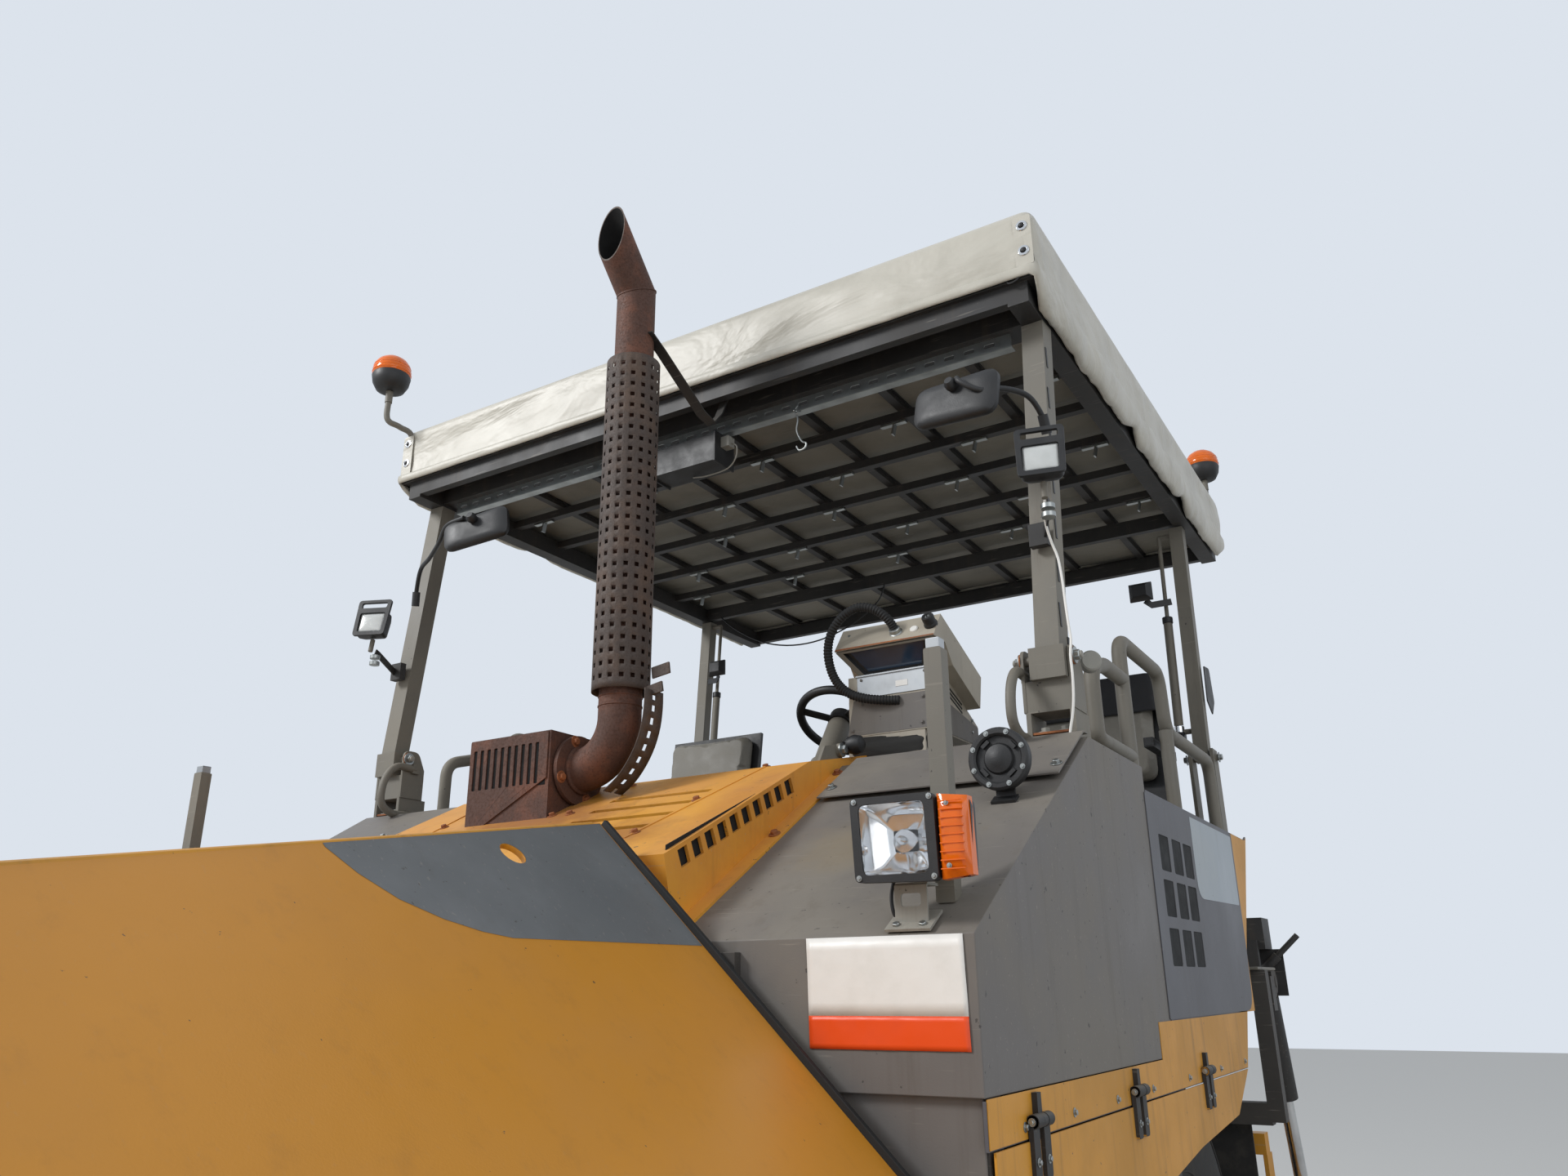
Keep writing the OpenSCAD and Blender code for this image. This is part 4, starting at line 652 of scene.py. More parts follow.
def makeGuard():
    g, bm = stackSet, bmesh.new()
    pitch = (g["high"] - g["low"] - 30) / g["rows"]
    part = math.tau / g["turns"]
    share = g["hole"] / (part * g["guard"]) / 2
    cuts = [(0.5 - share) / 2, 0.5 - share, 0.5 + share, 1 - (0.5 - share) / 2, 1]
    angles = [part * (n + c) for n in range(g["turns"]) for c in cuts]
    levels = (0, (pitch - g["hole"]) / 2, (pitch + g["hole"]) / 2)
    heights = [g["low"]] + [g["low"] + 15 + pitch * n + h for n in range(g["rows"]) for h in levels] + [g["high"]]
    flat = [(g["x"] + g["guard"] * math.cos(a + 0.1), g["y"] + g["guard"] * math.sin(a + 0.1)) for a in angles]
    ring = [[bm.verts.new(spot(x, y, h)) for x, y in flat] for h in heights]
    for k in range(len(heights) - 1):
        for i in range(len(angles)):
            hole = (k - 1) % 3 == 1 and i % 5 == 1 and 0 < k < len(heights) - 2
            if not hole:
                bm.faces.new((ring[k][i], ring[k][(i + 1) % len(angles)], ring[k + 1][(i + 1) % len(angles)], ring[k + 1][i]))
    return makePiece("exhaustGuard", bm, [guardSteel], edge=0, standsFor=("exhaust_guard",), thick=2.5, angle=50)


makeGuard()
pipeSet = {"radius": 57.5, "bend": 125, "mitre": 3574, "lean": 42, "tip": 190, "wall": 3.5, "sides": 56, "box": (-330, -40),
           "elbow": 2145}


def pipeRing(centre, across, upward, radius, cut=None, along=None):  # cut: a plane's point and normal to slide onto
    ring = []
    for i in range(pipeSet["sides"]):
        a = i * math.tau / pipeSet["sides"]
        p = centre + (across * math.cos(a) + upward * math.sin(a)) * radius / 1000
        if cut:
            p += along * ((cut[0] - p).dot(cut[1]) / along.dot(cut[1]))
        ring.append(p)
    return ring


def makePipe():
    g, s, bm = stackSet, pipeSet, bmesh.new()
    x0 = g["x"] - s["bend"]
    rings = [pipeRing(spot(x, g["y"], s["elbow"]), alongY, alongZ, s["radius"]) for x in (-42, x0)]
    for k in range(1, 15):
        a = math.radians(90 * k / 15)
        centre = spot(x0 + s["bend"] * math.sin(a), g["y"], s["elbow"] + s["bend"] * (1 - math.cos(a)))
        rings.append(pipeRing(centre, alongY, Vector((-math.sin(a), 0, math.cos(a))), s["radius"]))
    rings += [pipeRing(spot(g["x"], g["y"], z), alongY, -alongX, s["radius"]) for z in (2270, 2600, 3000, 3400)]
    half, full = math.radians(s["lean"] / 2), math.radians(s["lean"])
    seam = spot(g["x"], g["y"], s["mitre"])
    lean, fold = Vector((0, -math.sin(full), math.cos(full))), Vector((0, -math.sin(half), math.cos(half)))
    rings.append(pipeRing(seam - alongZ * 0.003, alongY, -alongX, s["radius"], (seam - alongZ * 0.003, fold), alongZ))
    rings.append(pipeRing(seam - alongZ * 0.003, alongY, -alongX, s["radius"] + 2, (seam - alongZ * 0.002, fold), alongZ))
    rings.append(pipeRing(seam, alongY, -alongX, s["radius"] + 2, (seam + alongZ * 0.002, fold), alongZ))
    over = Vector((0, lean.z, -lean.y))
    rings.append(pipeRing(seam, over, -alongX, s["radius"], (seam + alongZ * 0.003, fold), lean))
    mouth = (seam + lean * s["tip"] / 1000, Vector((-0.14, -0.98, -0.02)).normalized())
    rings.append(pipeRing(seam, over, -alongX, s["radius"], mouth, lean))
    addRings(bm, rings, 0, ends=False)
    inner = [rings[-1], pipeRing(seam, over, -alongX, s["radius"] - s["wall"], mouth, lean)]
    addRings(bm, inner, 1, ends=False)
    deep = (mouth[0] - lean * 0.17, mouth[1])
    addRings(bm, [inner[1], pipeRing(seam, over, -alongX, s["radius"] - s["wall"], deep, lean)], 2, ends=False)
    # painted shade: a black cap closes the pipe where its depth would be dark
    bm.faces.new([bm.verts.new(p) for p in pipeRing(seam, over, -alongX, s["radius"] - s["wall"], deep, lean)]).material_index = 2
    outline = ((350, 2011), (550, 2106), (550, 2240), (350, 2240))
    addRings(bm, [[spot(x, y, z) for y, z in outline] for x in s["box"]], 0)
    # painted shade: a black sheet fills the slots of the box's front plate
    addBox(bm, (-322, -52), (349.2, 349.9), (2098, 2216), 2)
    return makePiece("exhaustPipe", bm, [rustSteel, guardSteel, sootAndShadeBlack], edge=0, standsFor=("exhaust_stack",),
                     angle=30)


makePipe()
bm = bmesh.new()
for z in (2296, 2322):
    addLathe(bm, spot(105, 450, z), alongZ, [(57, 0), (59.5, 2), (59.5, 5), (57, 7)], sides=40)
addLathe(bm, spot(-20, stackSet["y"], pipeSet["elbow"]), alongX, [(60, -2), (64, 2), (64, 8), (58, 12)], sides=40)
flange = spot(-22, stackSet["y"], pipeSet["elbow"])
addLathe(bm, flange, alongX, [(92, -12), (92, 0), (80, 2)], sides=48)  # round flange with four rusty bolts
for a in (20, 110, 200, 290):
    addBolt(bm, flange + around(math.radians(a), 0.078), alongX, 17, 1)
slots = tuple(oblong(14 + i * 25, 128, 26 + i * 25, 236, 3) for i in range(10))
addPlate(bm, flatPlace(spot(-328, 350, 1975), alongX, alongZ), [(0, 0), (282, 140), (282, 262), (0, 262)], 4, slots)
makePiece("exhaustTrim", bm, [rustSteel, copperRust], edge=0.8)
bm = bmesh.new()
flow = [(218, 2330), (218, 2290), (212, 2240), (196, 2190), (170, 2145), (135, 2105), (92, 2075)]  # shield behind the elbow
strip = smoothPath([spot(x, 450, z) for x, z in flow], 3)
edges = [[bm.verts.new(p + alongY * w / 1000) for w in (-38, -7, 7, 38)] for p in strip]
for n, (a, b) in enumerate(zip(edges, edges[1:])):
    for i in range(3):
        if not (i == 1 and n % 2 == 1):
            bm.faces.new((a[i], b[i], b[i + 1], a[i + 1]))
addBox(bm, (196, 250), (440, 446), (2318, 2345), turn=(0, -10, 0))
addBox(bm, (205, 262), (452, 458), (2368, 2398), turn=(0, -8, 0))
makePiece("elbowShield", bm, [guardSteel], edge=0, thick=3)
bm = bmesh.new()
brace = [spot(160, 440, 3420), spot(152, 520, 3395), spot(172, 700, 3265), spot(180, 742, 3248), spot(185, 775, 3290), spot(188, 800, 3350)]
addTube(bm, brace, 34, sides=4, flat=(5, alongX))
makePiece("stackBrace", bm, [blackEnamel], edge=0.8)
print("stage: exhaust")

# hood dressing: flange, seam and crown bolts, the hinge arm, and the black sheet of painted shade behind the vents
hoodSet = {"pitch": 25.37, "bolts": ((404, 160), (423, 362), (30, 361), (65, 560)), "flangeBolts": (396, 700)}
pitch = math.radians(hoodSet["pitch"])
hoodUp = Vector((0, -math.sin(pitch), math.cos(pitch)))
hoodAlong = Vector((0, hoodUp.z, -hoodUp.y))


def hoodTop(x, y):
    return spot(x, y, 1850 + (y - 10) * 275 / 580)


def noseTop(x, y):
    return spot(x, y, 1681 + y * 459 / 760)


noseUp = Vector((0, -459, 760)).normalized()
bm = bmesh.new()
for s in (1, -1):
    seam = [hoodTop(s * x, y) + hoodUp * 0.001 for x, y in ((399, 128), (469, 588))]
    addTube(bm, seam, 9, sides=4, flat=(3, hoodUp.cross(hoodAlong)))
    for x, y in hoodSet["bolts"]:
        addBolt(bm, hoodTop(s * x, y), hoodUp, 14, 1)
    for y in hoodSet["flangeBolts"]:
        addBolt(bm, noseTop(s * 620, y) + noseUp * 0.0065, noseUp, 15, 1)
    addBolt(bm, spot(s * 440, 640, 2134), hoodUp, 14, 1)
makePiece("hoodTrim", bm, [hoodEnamel, copperRust], edge=0.5)
bm = bmesh.new()
# painted shade: a black sheet behind the hood's vents
addPlate(bm, flatPlace(spot(588, 30, 1800), alongY, alongZ), [(0, 0), (520, 236), (520, 300), (0, 70)], 2)
makePiece("ventShade", bm, [openingShade], edge=0, mirror=True)
bm = bmesh.new()
arm = [(0, 0), (40, 62), (110, 78), (132, 64), (132, 40), (96, 30), (70, 6), (52, -40), (20, -44)]
addPlate(bm, flatPlace(spot(586, 640, 2118), alongY, alongZ), arm, 8, radius=10)
addLathe(bm, spot(594, 752, 2180), alongX, [(18, 0), (18, 10)], 0, 24)
addBolt(bm, spot(604, 752, 2180), alongX, 20, 1)
addRod(bm, spot(560, 752, 2180), spot(600, 752, 2180), 16, 1)
addLathe(bm, spot(624, 790, 2198), alongX, [(8, -26), (22, -18), (27, 0), (22, 18), (10, 26)], 2, 24)
makePiece("hoodHinge", bm, [postGrey, zincSteel, blackPlastic], edge=1.2, mirror=True)

# raised crown plate with its open front lip
bm = bmesh.new()
lip = flatPlace(noseTop(646, 548) + noseUp * 0.012, alongX, Vector((0, 760, 459)))
addPlate(bm, lip, oblong(0, 0, 596, 248), 4)
addBox(bm, (646, 1242), (762, 784), (2150.5, 2154.5))
for x in (664, 940, 1225):
    addBolt(bm, noseTop(x, 592) + noseUp * 0.0165, noseUp, 14, 1)
makePiece("crownPlate", bm, [greyEnamel, zincSteel], edge=1.0, mirror=True)

# head lamps: black housing, clear lens over a bowl, ribbed amber indicator outboard, slotted foot
lampSet = {"frame": [(1042, 1912), (1203, 1911), (1207, 1763), (1050, 1767)],
           "lens": [(1058, 1899), (1184, 1899), (1190, 1777), (1066, 1779)],
           "amber": [(1207, 1908), (1262, 1901), (1265, 1771), (1210, 1765)], "front": -34}


def bulged(bm, corners, depth, bulge, finish, steps=14, thick=3):  # a pressed lens: bulged grid with a skirt
    a, b, c, d = [Vector((p[0], 0, p[1])) for p in corners]
    rows = []
    for j in range(steps + 1):
        v = j / steps
        row = []
        for i in range(steps + 1):
            u = i / steps
            p = a.lerp(b, u).lerp(d.lerp(c, u), v)
            lift = bulge * (1 - (2 * u - 1) ** 4) * (1 - (2 * v - 1) ** 4)
            row.append(bm.verts.new(spot(p.x, depth - lift, p.z)))
        rows.append(row)
    addGrid(bm, rows, finish)
    rim = rows[0] + [r[-1] for r in rows[1:]] + rows[-1][-2::-1] + [r[0] for r in rows[-2:0:-1]]
    skirt = [bm.verts.new(v.co + alongY * thick / 1000) for v in rim]
    for i in range(len(rim)):
        bm.faces.new((rim[i - 1], rim[i], skirt[i], skirt[i - 1])).material_index = finish
    bm.faces.new(skirt).material_index = finish


def addShrinking(bm, outline, radius, middle, sections):  # a bowl: the outline drawn in toward its middle
    middle, rings = Vector(middle), []
    for depth, share in sections:
        points = [middle + (p - middle) * share for p in rounded(outline, radius)]
        rings.append([spot(p.x, depth, p.y) for p in points])
    addRings(bm, rings, ends=False)
    return rings


bm = bmesh.new()
face = flatPlace(spot(0, lampSet["front"] + 16, 0), alongX, alongZ)
addPlate(bm, face, lampSet["frame"], 16, (lampSet["lens"],), radius=12)
grown = [(1044, 1910), (1264, 1902), (1264, 1768), (1052, 1768)]
rings = addShrinking(bm, grown, 16, (1150, 1838), ((-18, 1.0), (10, 0.97), (34, 0.8), (46, 0.55)))
bm.faces.new([bm.verts.new(p) for p in rings[-1]])
for x, z in ((1051, 1905), (1196, 1904), (1199, 1771), (1058, 1774)):
    addBolt(bm, spot(x, lampSet["front"] - 0.5, z), -alongY, 5.5, 1)
addPlate(bm, flatPlace(spot(1098, 22, 1690), alongX, alongZ), oblong(0, 0, 62, 74), 4, (oblong(12, 38, 50, 60, 6),), 2)
addBox(bm, (1098, 1160), (22, 66), (1763, 1768), 2)
addBox(bm, (1086, 1172), (-6, 58), (1702, 1707), 2, turn=(31, 0, 0))
for x in (1104, 1154):
    addBolt(bm, noseTop(x, 14) + noseUp * 0.006, noseUp, 12, 1)
addRoute(bm, [(1090, 46, 1790), (1082, 40, 1752), (1086, 36, 1722), (1094, 40, 1706)], 7, 0, 8)
makePiece("headLampHousings", bm, [blackPlastic, zincSteel, creamEnamel], edge=1.2, mirror=True, standsFor=("lamps",))
bm = bmesh.new()
addShrinking(bm, lampSet["lens"], 10, (1124, 1838), ((-28, 0.99), (-12, 0.9), (4, 0.66), (16, 0.3)))
addLathe(bm, spot(1124, 16, 1838), -alongY, [(19, 0), (19, 3), (8, 5), (8, 14), (4, 22)], 1, 20)
makePiece("headLampBowls", bm, [lampMirror, brightSteel], edge=0, mirror=True)
bm = bmesh.new()
bulged(bm, lampSet["lens"], -33, 7, 0)
makePiece("headLampLenses", bm, [lampGlass], edge=0, mirror=True)
bm = bmesh.new()
bulged(bm, lampSet["amber"], -26, 12, 0, thick=22)
for i in range(9):
    z = 1780 + i * 14
    addBox(bm, (1214, 1258), (-39.5, -36), (z, z + 2.2), 0)
for z in (1786, 1890):
    addBolt(bm, spot(1228, -37, z), -alongY, 5, 1)
makePiece("indicators", bm, [amberLens, zincSteel], edge=0.6, mirror=True)

# horn: ribbed disc with a bolted ring, on a bent strap
bm = bmesh.new()
at = spot(1145, 470, 2050)
addLathe(bm, at, -alongY, [(30, -22), (52, -14), (62, 0), (67, 6), (67, 26), (62, 30), (54, 30), (50, 26), (50, 20),
                           (34, 20), (30, 26), (16, 30), (8, 32)], 0, 48)
for i in range(8):
    a = math.radians(22 + i * 45)
    addBolt(bm, at + Vector((math.cos(a), 0, math.sin(a))) * 0.0585 - alongY * 0.03, -alongY, 6, 1)
for i in range(4):
    a = math.radians(i * 90 + 40)
    x, z = 1145 + 42 * math.cos(a), 2050 + 42 * math.sin(a)
    addBox(bm, (x - 4, x + 4), (443, 452), (z - 10, z + 10), turn=(0, -math.degrees(a), 0))
strap = [(0, 0), (42, 0), (42, 60), (28, 96), (14, 96), (0, 60)]
addPlate(bm, flatPlace(spot(1124, 478, 1968), alongX, alongZ), strap, 5, radius=6)
addBox(bm, (1118, 1172), (452, 482), (1962, 1970), 0, turn=(31, 0, 0))
makePiece("horn", bm, [blackPlastic, zincSteel], edge=0.8)

# work lamps on the front posts: round-cornered body in a handled cage, frosted square lens
def makeWorkLamp(name, centre, turn):
    bm = bmesh.new()
    tilt = turnMatrix((turn[0], 0, turn[1]))
    def on(x, y, z):
        return spot(*centre) + tilt @ (Vector((x, y, z)) / 1000)
    shape = [(-50, -46), (50, -46), (54, 44), (-54, 44)]
    rings = [[on(p.x * k, y, p.y * k) for p in rounded(shape, 12)] for y, k in ((-24, 0.93), (-20, 1), (0, 1), (22, 0.82), (40, 0.5))]
    addRings(bm, rings)
    place = Matrix.Translation(spot(*centre)) @ tilt @ Matrix(((1, 0, 0), (0, 0, -1), (0, 1, 0))).to_4x4() @ Matrix.Scale(0.001, 4)
    addPlate(bm, place @ Matrix.Translation((0, 0, 24)), [(-56, -52, 12), (56, -52, 12), (60, 88, 12), (-60, 88, 12)], 9,
             ([(-42, -38, 8), (42, -38, 8), (45, 36, 8), (-45, 36, 8)], [(-44, 56, 6), (44, 56, 6), (46, 76, 6), (-46, 76, 6)]))
    addRod(bm, on(0, 10, -48), on(0, 12, -92), 16, 2)
    addBox(bm, *[(c - h, c + h) for c, h in zip(centre, (22, 20, 3))], 2)
    makePiece(name, bm, [blackPlastic, zincSteel, postGrey], edge=1.0)
    bm = bmesh.new()
    grid = [[bm.verts.new(on(x * 6, -27 - 4 * (1 - (x / 7) ** 4) * (1 - (z / 6) ** 4), z * 6)) for x in range(-7, 8)] for z in range(-6, 7)]
    addGrid(bm, grid)
    makePiece(name + "Lens", bm, [frostGlass], edge=0, thick=2.5)


frostGlass = polished("frostGlass", "E9ECEA", 0.22, metallic=0, clear=0.35, ior=1.5, grain=(600, 30, 600), depth=0.0006)  # fluted lens
makeWorkLamp("workLampL", (1248, 608, 2776), (-12, 14))
makeWorkLamp("workLampR", (-1130, 608, 2780), (-14, 24))
bm = bmesh.new()
for s, x, z in ((1, 1248, 2776), (-1, -1130, 2780)):
    base = spot(s * 1174, 800, 2668)
    addTube(bm, [base, spot(s * 1190, 760, 2660), spot(x, 640, z - 96), spot(x, 622, z - 88)], 26, sides=4, flat=(5, alongZ))
    addBox(bm, (s * 1176 - 24, s * 1176 + 24), (752, 776), (2630, 2690))
    for dz in (0, 22):
        addLathe(bm, spot(x, 624, z - 112 - dz), alongZ, [(17, 0), (17, 12), (12, 14)], 1, 18)
makePiece("workLampArms", bm, [blackEnamel, zincSteel], edge=0.8)
print("stage: lamps")

# mirrors: rounded black shell with a glass, clamp ball and bent tube arm
def makeMirror(name, centre, wide, tall, path, tilt):
    bm = bmesh.new()
    spin = turnMatrix(tilt)
    def on(x, y, z):
        return spot(*centre) + spin @ (Vector((x, y, z)) / 1000)
    shape = [(-wide, -tall * 0.86), (wide, -tall), (wide, tall), (-wide, tall * 0.92)]
    outline = rounded(shape, tall * 0.55, 6)
    addRings(bm, [[on(p.x * k, y, p.y * k) for p in outline] for y, k in ((-16, 0.55), (-13, 0.86), (-4, 0.99), (8, 1.0), (12, 0.97))], 0)
    addRings(bm, [[on(p.x * 0.93, y, p.y * 0.93) for p in outline] for y in (12.2, 13)], 1)
    addLathe(bm, on(0, -14, tall * 0.45), on(0, -60, tall * 0.6) - on(0, -14, tall * 0.45), [(13, 0), (17, 8), (17, 20), (11, 30)], 0, 20)
    addRoute(bm, path, 15)
    end = [spot(*p) for p in path[-2:]]
    addTube(bm, [end[1] - (end[1] - end[0]).normalized() * 0.05, end[1]], 27, 0, 16)
    return makePiece(name, bm, [blackPlastic, mirrorGlass], edge=0, standsFor=("mirrors",), angle=50)


armSet = {"L": ((1060, 575, 3052), (1075, 560, 3030), (1120, 575, 3000), (1165, 620, 3012), (1205, 690, 3010),
                (1222, 742, 2965), (1222, 760, 2930)),
          "R": ((-700, 575, 3075), (-790, 585, 3070), (-860, 620, 3040), (-960, 670, 3018), (-1060, 720, 3012),
                (-1120, 760, 2960), (-1130, 770, 2900))}
makeMirror("mirrorL", (1043, 600, 3005), 122, 66, armSet["L"], (-8, 4, -8))
makeMirror("mirrorR", (-665, 600, 3034), 118, 60, armSet["R"], (-10, -12, 16))

# flashing beacons: ribbed amber dome on a black cup, on a bent tube
bm = bmesh.new()
dome = bmesh.new()
for x, y, z, reach in ((-1245, 640, 3742, 742), (1200, 3160, 3742, 3090)):
    addLathe(bm, spot(x, y, z), alongZ, [(34, 0), (52, 8), (66, 34), (71, 62), (66, 72)], 0, 40)
    addLathe(dome, spot(x, y, z + 66), alongZ, [(66, 0), (70, 6), (70, 20), (66, 44), (54, 62), (34, 76), (12, 84), (0.1, 86)], 0, 40)
    for k in range(3):
        rib = [(70.5 - k * 1.6, 0), (72 - k * 1.6, 2), (70.5 - k * 1.6, 4)]
        addLathe(dome, spot(x, y, z + 74 + k * 13), alongZ, rib, 0, 40, ends=False)
    addRod(bm, spot(x, y, z - 46), spot(x, y, z), 27, 1)
    addRoute(bm, [(x, y, z - 40), (x, y, z - 100), (x * 0.995, y + (-16 if reach < y else 12), z - 124),
                  (x * 0.985, (y + reach) / 2, z - 132), (x * 0.975, reach, z - 160), (x * 0.97, reach, z - 330)], 22, 1)
makePiece("beaconCups", bm, [blackPlastic, postGrey], edge=0, standsFor=("beacons",), angle=50)
makePiece("beaconDomes", dome, [amberLens], edge=0, angle=50)
print("stage: mirrors and beacons")

# blank sheet on the front face: white above orange, a little crinkled
bm = bmesh.new()
for low, high, finish in ((1552, 1680, 0), (1499, 1552, 1)):
    grid = []
    for j in range(7):
        z = low + (high - low) * j / 6
        lean = (z - 1499) / 181
        crinkle = [-2.2 - 1.1 * noise.noise(Vector((i * 0.3, z * 0.02, 5))) for i in range(31)]
        grid.append([bm.verts.new(spot(935 - 4 * lean + 298 * i / 30, y, z)) for i, y in enumerate(crinkle)])
    addGrid(bm, grid, finish)
makePiece("blankSheet", bm, [paperWhite, paperOrange], edge=0, thick=0.6)
bm = bmesh.new()
for s in (1, -1):  # alloy plugs in the marker posts
    addBox(bm, (s * 1164 - 14, s * 1164 + 14), (88, 116), (2202, 2223))
makePiece("markerPlugs", bm, [aluminium], edge=2)
bm = bmesh.new()
for s in (1, -1):  # lower panel joint and its bolts on the front face
    for z in (1440, 1660):
        addBolt(bm, spot(s * 700, -0.5, z), -alongY, 12)
makePiece("faceBolts", bm, [greyEnamel], edge=0.5)

# wing dressing: flat grey field, rubber edge strip and the rolled top lip
bendSet = {"hinge": (800, 640), "floor": 720, "floorAngle": 56.3, "wallAngle": 137}
wallAngle, floorAngle = math.radians(bendSet["wallAngle"]), math.radians(bendSet["floorAngle"])
bend = Vector((bendSet["hinge"][0] + bendSet["floor"] * math.cos(floorAngle), 0,
               bendSet["hinge"][1] + bendSet["floor"] * math.sin(floorAngle)))
wallAlong = Vector((math.cos(wallAngle), 0, math.sin(wallAngle)))
wallOut = Vector((math.sin(wallAngle), 0, -math.cos(wallAngle)))


def wingFace(side, y, u, lift=0.0):  # y is the station, u runs up the wall from the bend
    p = bend + wallAlong * u + wallOut * lift
    return spot(side * p.x, y, p.z)


def wallTop(y):
    return 590 + (y + 1750) * 400 / 1710


wingSet = {"low": 634, "edge": ((-526, 634), (-580, 645), (-640, 668), (-700, 705), (-745, 755), (-775, 808))}
for side, body in ((1, "wing_l"), (-1, "wing_r")):
    bm = bmesh.new()
    rim = [(-45, wingSet["low"])] + list(wingSet["edge"]) + [(-775, wallTop(-775) - 2), (-400, wallTop(-400) - 2), (-45, wallTop(-45) - 2)]
    rim = [(y, min(u, wallTop(y) - 2)) for y, u in rim]
    hole = [(-382 + 26 * math.cos(a), 848 + 26 * math.sin(a)) for a in (i * math.tau / 20 for i in range(20))]
    edges = []
    for loop in (rim, hole):
        ring = [bm.verts.new(wingFace(side, y, u, 0.5)) for y, u in loop]
        edges += [bm.edges.new((ring[i - 1], ring[i])) for i in range(len(ring))]
    bmesh.ops.triangle_fill(bm, edges=edges, use_beauty=True)
    makePiece("wingField" + "LR"[side < 0], bm, [decalGrey], body=body, edge=0)
    bm = bmesh.new()
    addTube(bm, [wingFace(side, -36, u, 2) for u in (-20, 300, 700, 985)], 12, sides=4, flat=(20, alongY))
    makePiece("wingStrip" + "LR"[side < 0], bm, [stripRubber], body=body, edge=1.5)
    bm = bmesh.new()
    lip = [wingFace(side, y, wallTop(y) + 1, -5) for y in range(-1745, -40, 60)]
    addTube(bm, lip, 13, sides=8)
    makePiece("wingLip" + "LR"[side < 0], bm, [yellowEnamel], body=body, edge=0)

# side door with nine vents, its seam, the pale blank patch and the yellow band edge
bm = bmesh.new()
doorSet = {"y": (1206, 2312), "z": (1515, 2072), "vents": ((1300, 1441, 1570), (1640, 1763, 1880))}
vents = tuple(oblong(y, z, y + 104, z + 94, 8) for y in doorSet["vents"][0] for z in doorSet["vents"][1])
for side in (1, -1):
    place = flatPlace(spot(side * 1250.5, 0, 0), alongY, alongZ)
    (y0, y1), (z0, z1) = doorSet["y"], doorSet["z"]
    outline = [(y0, z0, 4), (y1 - 20, z0, 90), (y1, z0 + 180, 6), (y1, z1, 4), (y0, z1, 4)]
    addPlate(bm, place, outline, 2.2 * side, vents)
# painted shade: the doors take the side panels' darkened grey
makePiece("sideDoors", bm, [shadedSideGrey], edge=0.8)
# painted shade: black sheets fill the vent openings of the doors
bm = bmesh.new()
for side in (1, -1):
    for y in doorSet["vents"][0]:
        for z in doorSet["vents"][1]:
            addBox(bm, (side * 1250.6 - 0.4, side * 1250.6 + 0.4), (y - 1, y + 105), (z - 1, z + 95), 0)
makePiece("doorVentShade", bm, [openingShade], edge=0)
bm = bmesh.new()
for side in (1, -1):
    place = flatPlace(spot(side * 1252.8, 0, 0), alongY, alongZ)
    addPlate(bm, place, [(1700, 1830, 60), (2290, 1840, 12), (2290, 2064, 6), (1700, 2064, 6)], 0.6 * side)
makePiece("doorPatches", bm, [patchBlue], edge=0)
bm = bmesh.new()
for side in (1, -1):
    addBox(bm, (side * 1250.8 - 1, side * 1250.8 + 1), (4, 1095), (1357, 1430), 0)
    addBox(bm, (side * 1250.8 - 1, side * 1250.8 + 1), (1095, 2080), (1357, 1512), 0)
    quarter = [(2080, 1358), (2592, 2090), (2560, 2078), (2316, 2078), (2316, 1512), (2080, 1512)]
    addPlate(bm, flatPlace(spot(side * 1250.2, 0, 0), alongY, alongZ), quarter, 1.6 * side)
    for y in (160, 420, 700, 980, 1330, 1700, 2040):
        addBolt(bm, spot(side * 1252, y, 1376), alongX * side, 9, 1)
makePiece("sideBands", bm, [yellowEnamel, zincSteel], edge=0.6)
print("stage: wings and sides")

# free cords: corrugated hose of the console, cable down the post, cable slung under the roof
def makeCord(name, points, width, finish, steps=3, ribs=None, sides=12):
    path = smoothPath([spot(*p) for p in points], steps)
    bm = bmesh.new()
    addTube(bm, path, width, 0, sides, ribs=ribs)
    piece = makePiece(name, bm, [finish], edge=0, angle=80 if ribs is None else 20)
    return piece


cordSet = {
    "consoleHose": ((713, 881, 2515), (703, 861, 2545), (672, 846, 2577), (625, 838, 2592), (574, 838, 2577), (534, 843, 2540),
                    (515, 850, 2492), (517, 857, 2440), (534, 864, 2395), (566, 871, 2362),
                    (610, 877, 2343), (660, 885, 2333), (706, 899.5, 2329)),
    "postCable": ((1236, 655, 2716), (1224, 672, 2690), (1214, 705, 2660), (1216, 732, 2620), (1224, 742, 2585), (1229, 744, 2530),
                  (1231, 744, 2470), (1234, 743, 2410), (1237, 741, 2372), (1233, 738, 2335), (1233, 739, 2290), (1230, 742, 2240),
                  (1223, 747, 2200), (1213, 752, 2165), (1210, 753, 2151)),
    "roofCable": ((-150, 2592, 3341), (-158, 2591, 3310), (-180, 2590, 3268), (-240, 2589, 3220), (-330, 2588, 3172), (-430, 2588, 3140),
                  (-530, 2588, 3124), (-640, 2588, 3126), (-750, 2588, 3148), (-850, 2588, 3187),
                  (-940, 2589, 3240), (-1010, 2590, 3292), (-1060, 2592, 3341))}
makeCord("consoleHose", cordSet["consoleHose"], 27, stripRubber, 12, ribs=0.84, sides=20)
makeCord("postCable", cordSet["postCable"], 6.5, paperWhite)
makeCord("roofCable", cordSet["roofCable"], 7, blackPlastic)
print("stage: cords")

# console: alloy head with its tinted recess, key knob, white plug, label plate and the bellows round the base
bm = bmesh.new()


def addQuadRing(bm, outer, inner, finish):
    for i in range(4):
        quad = (outer[i - 1], outer[i], inner[i], inner[i - 1])
        bm.faces.new([bm.verts.new(p) for p in quad]).material_index = finish


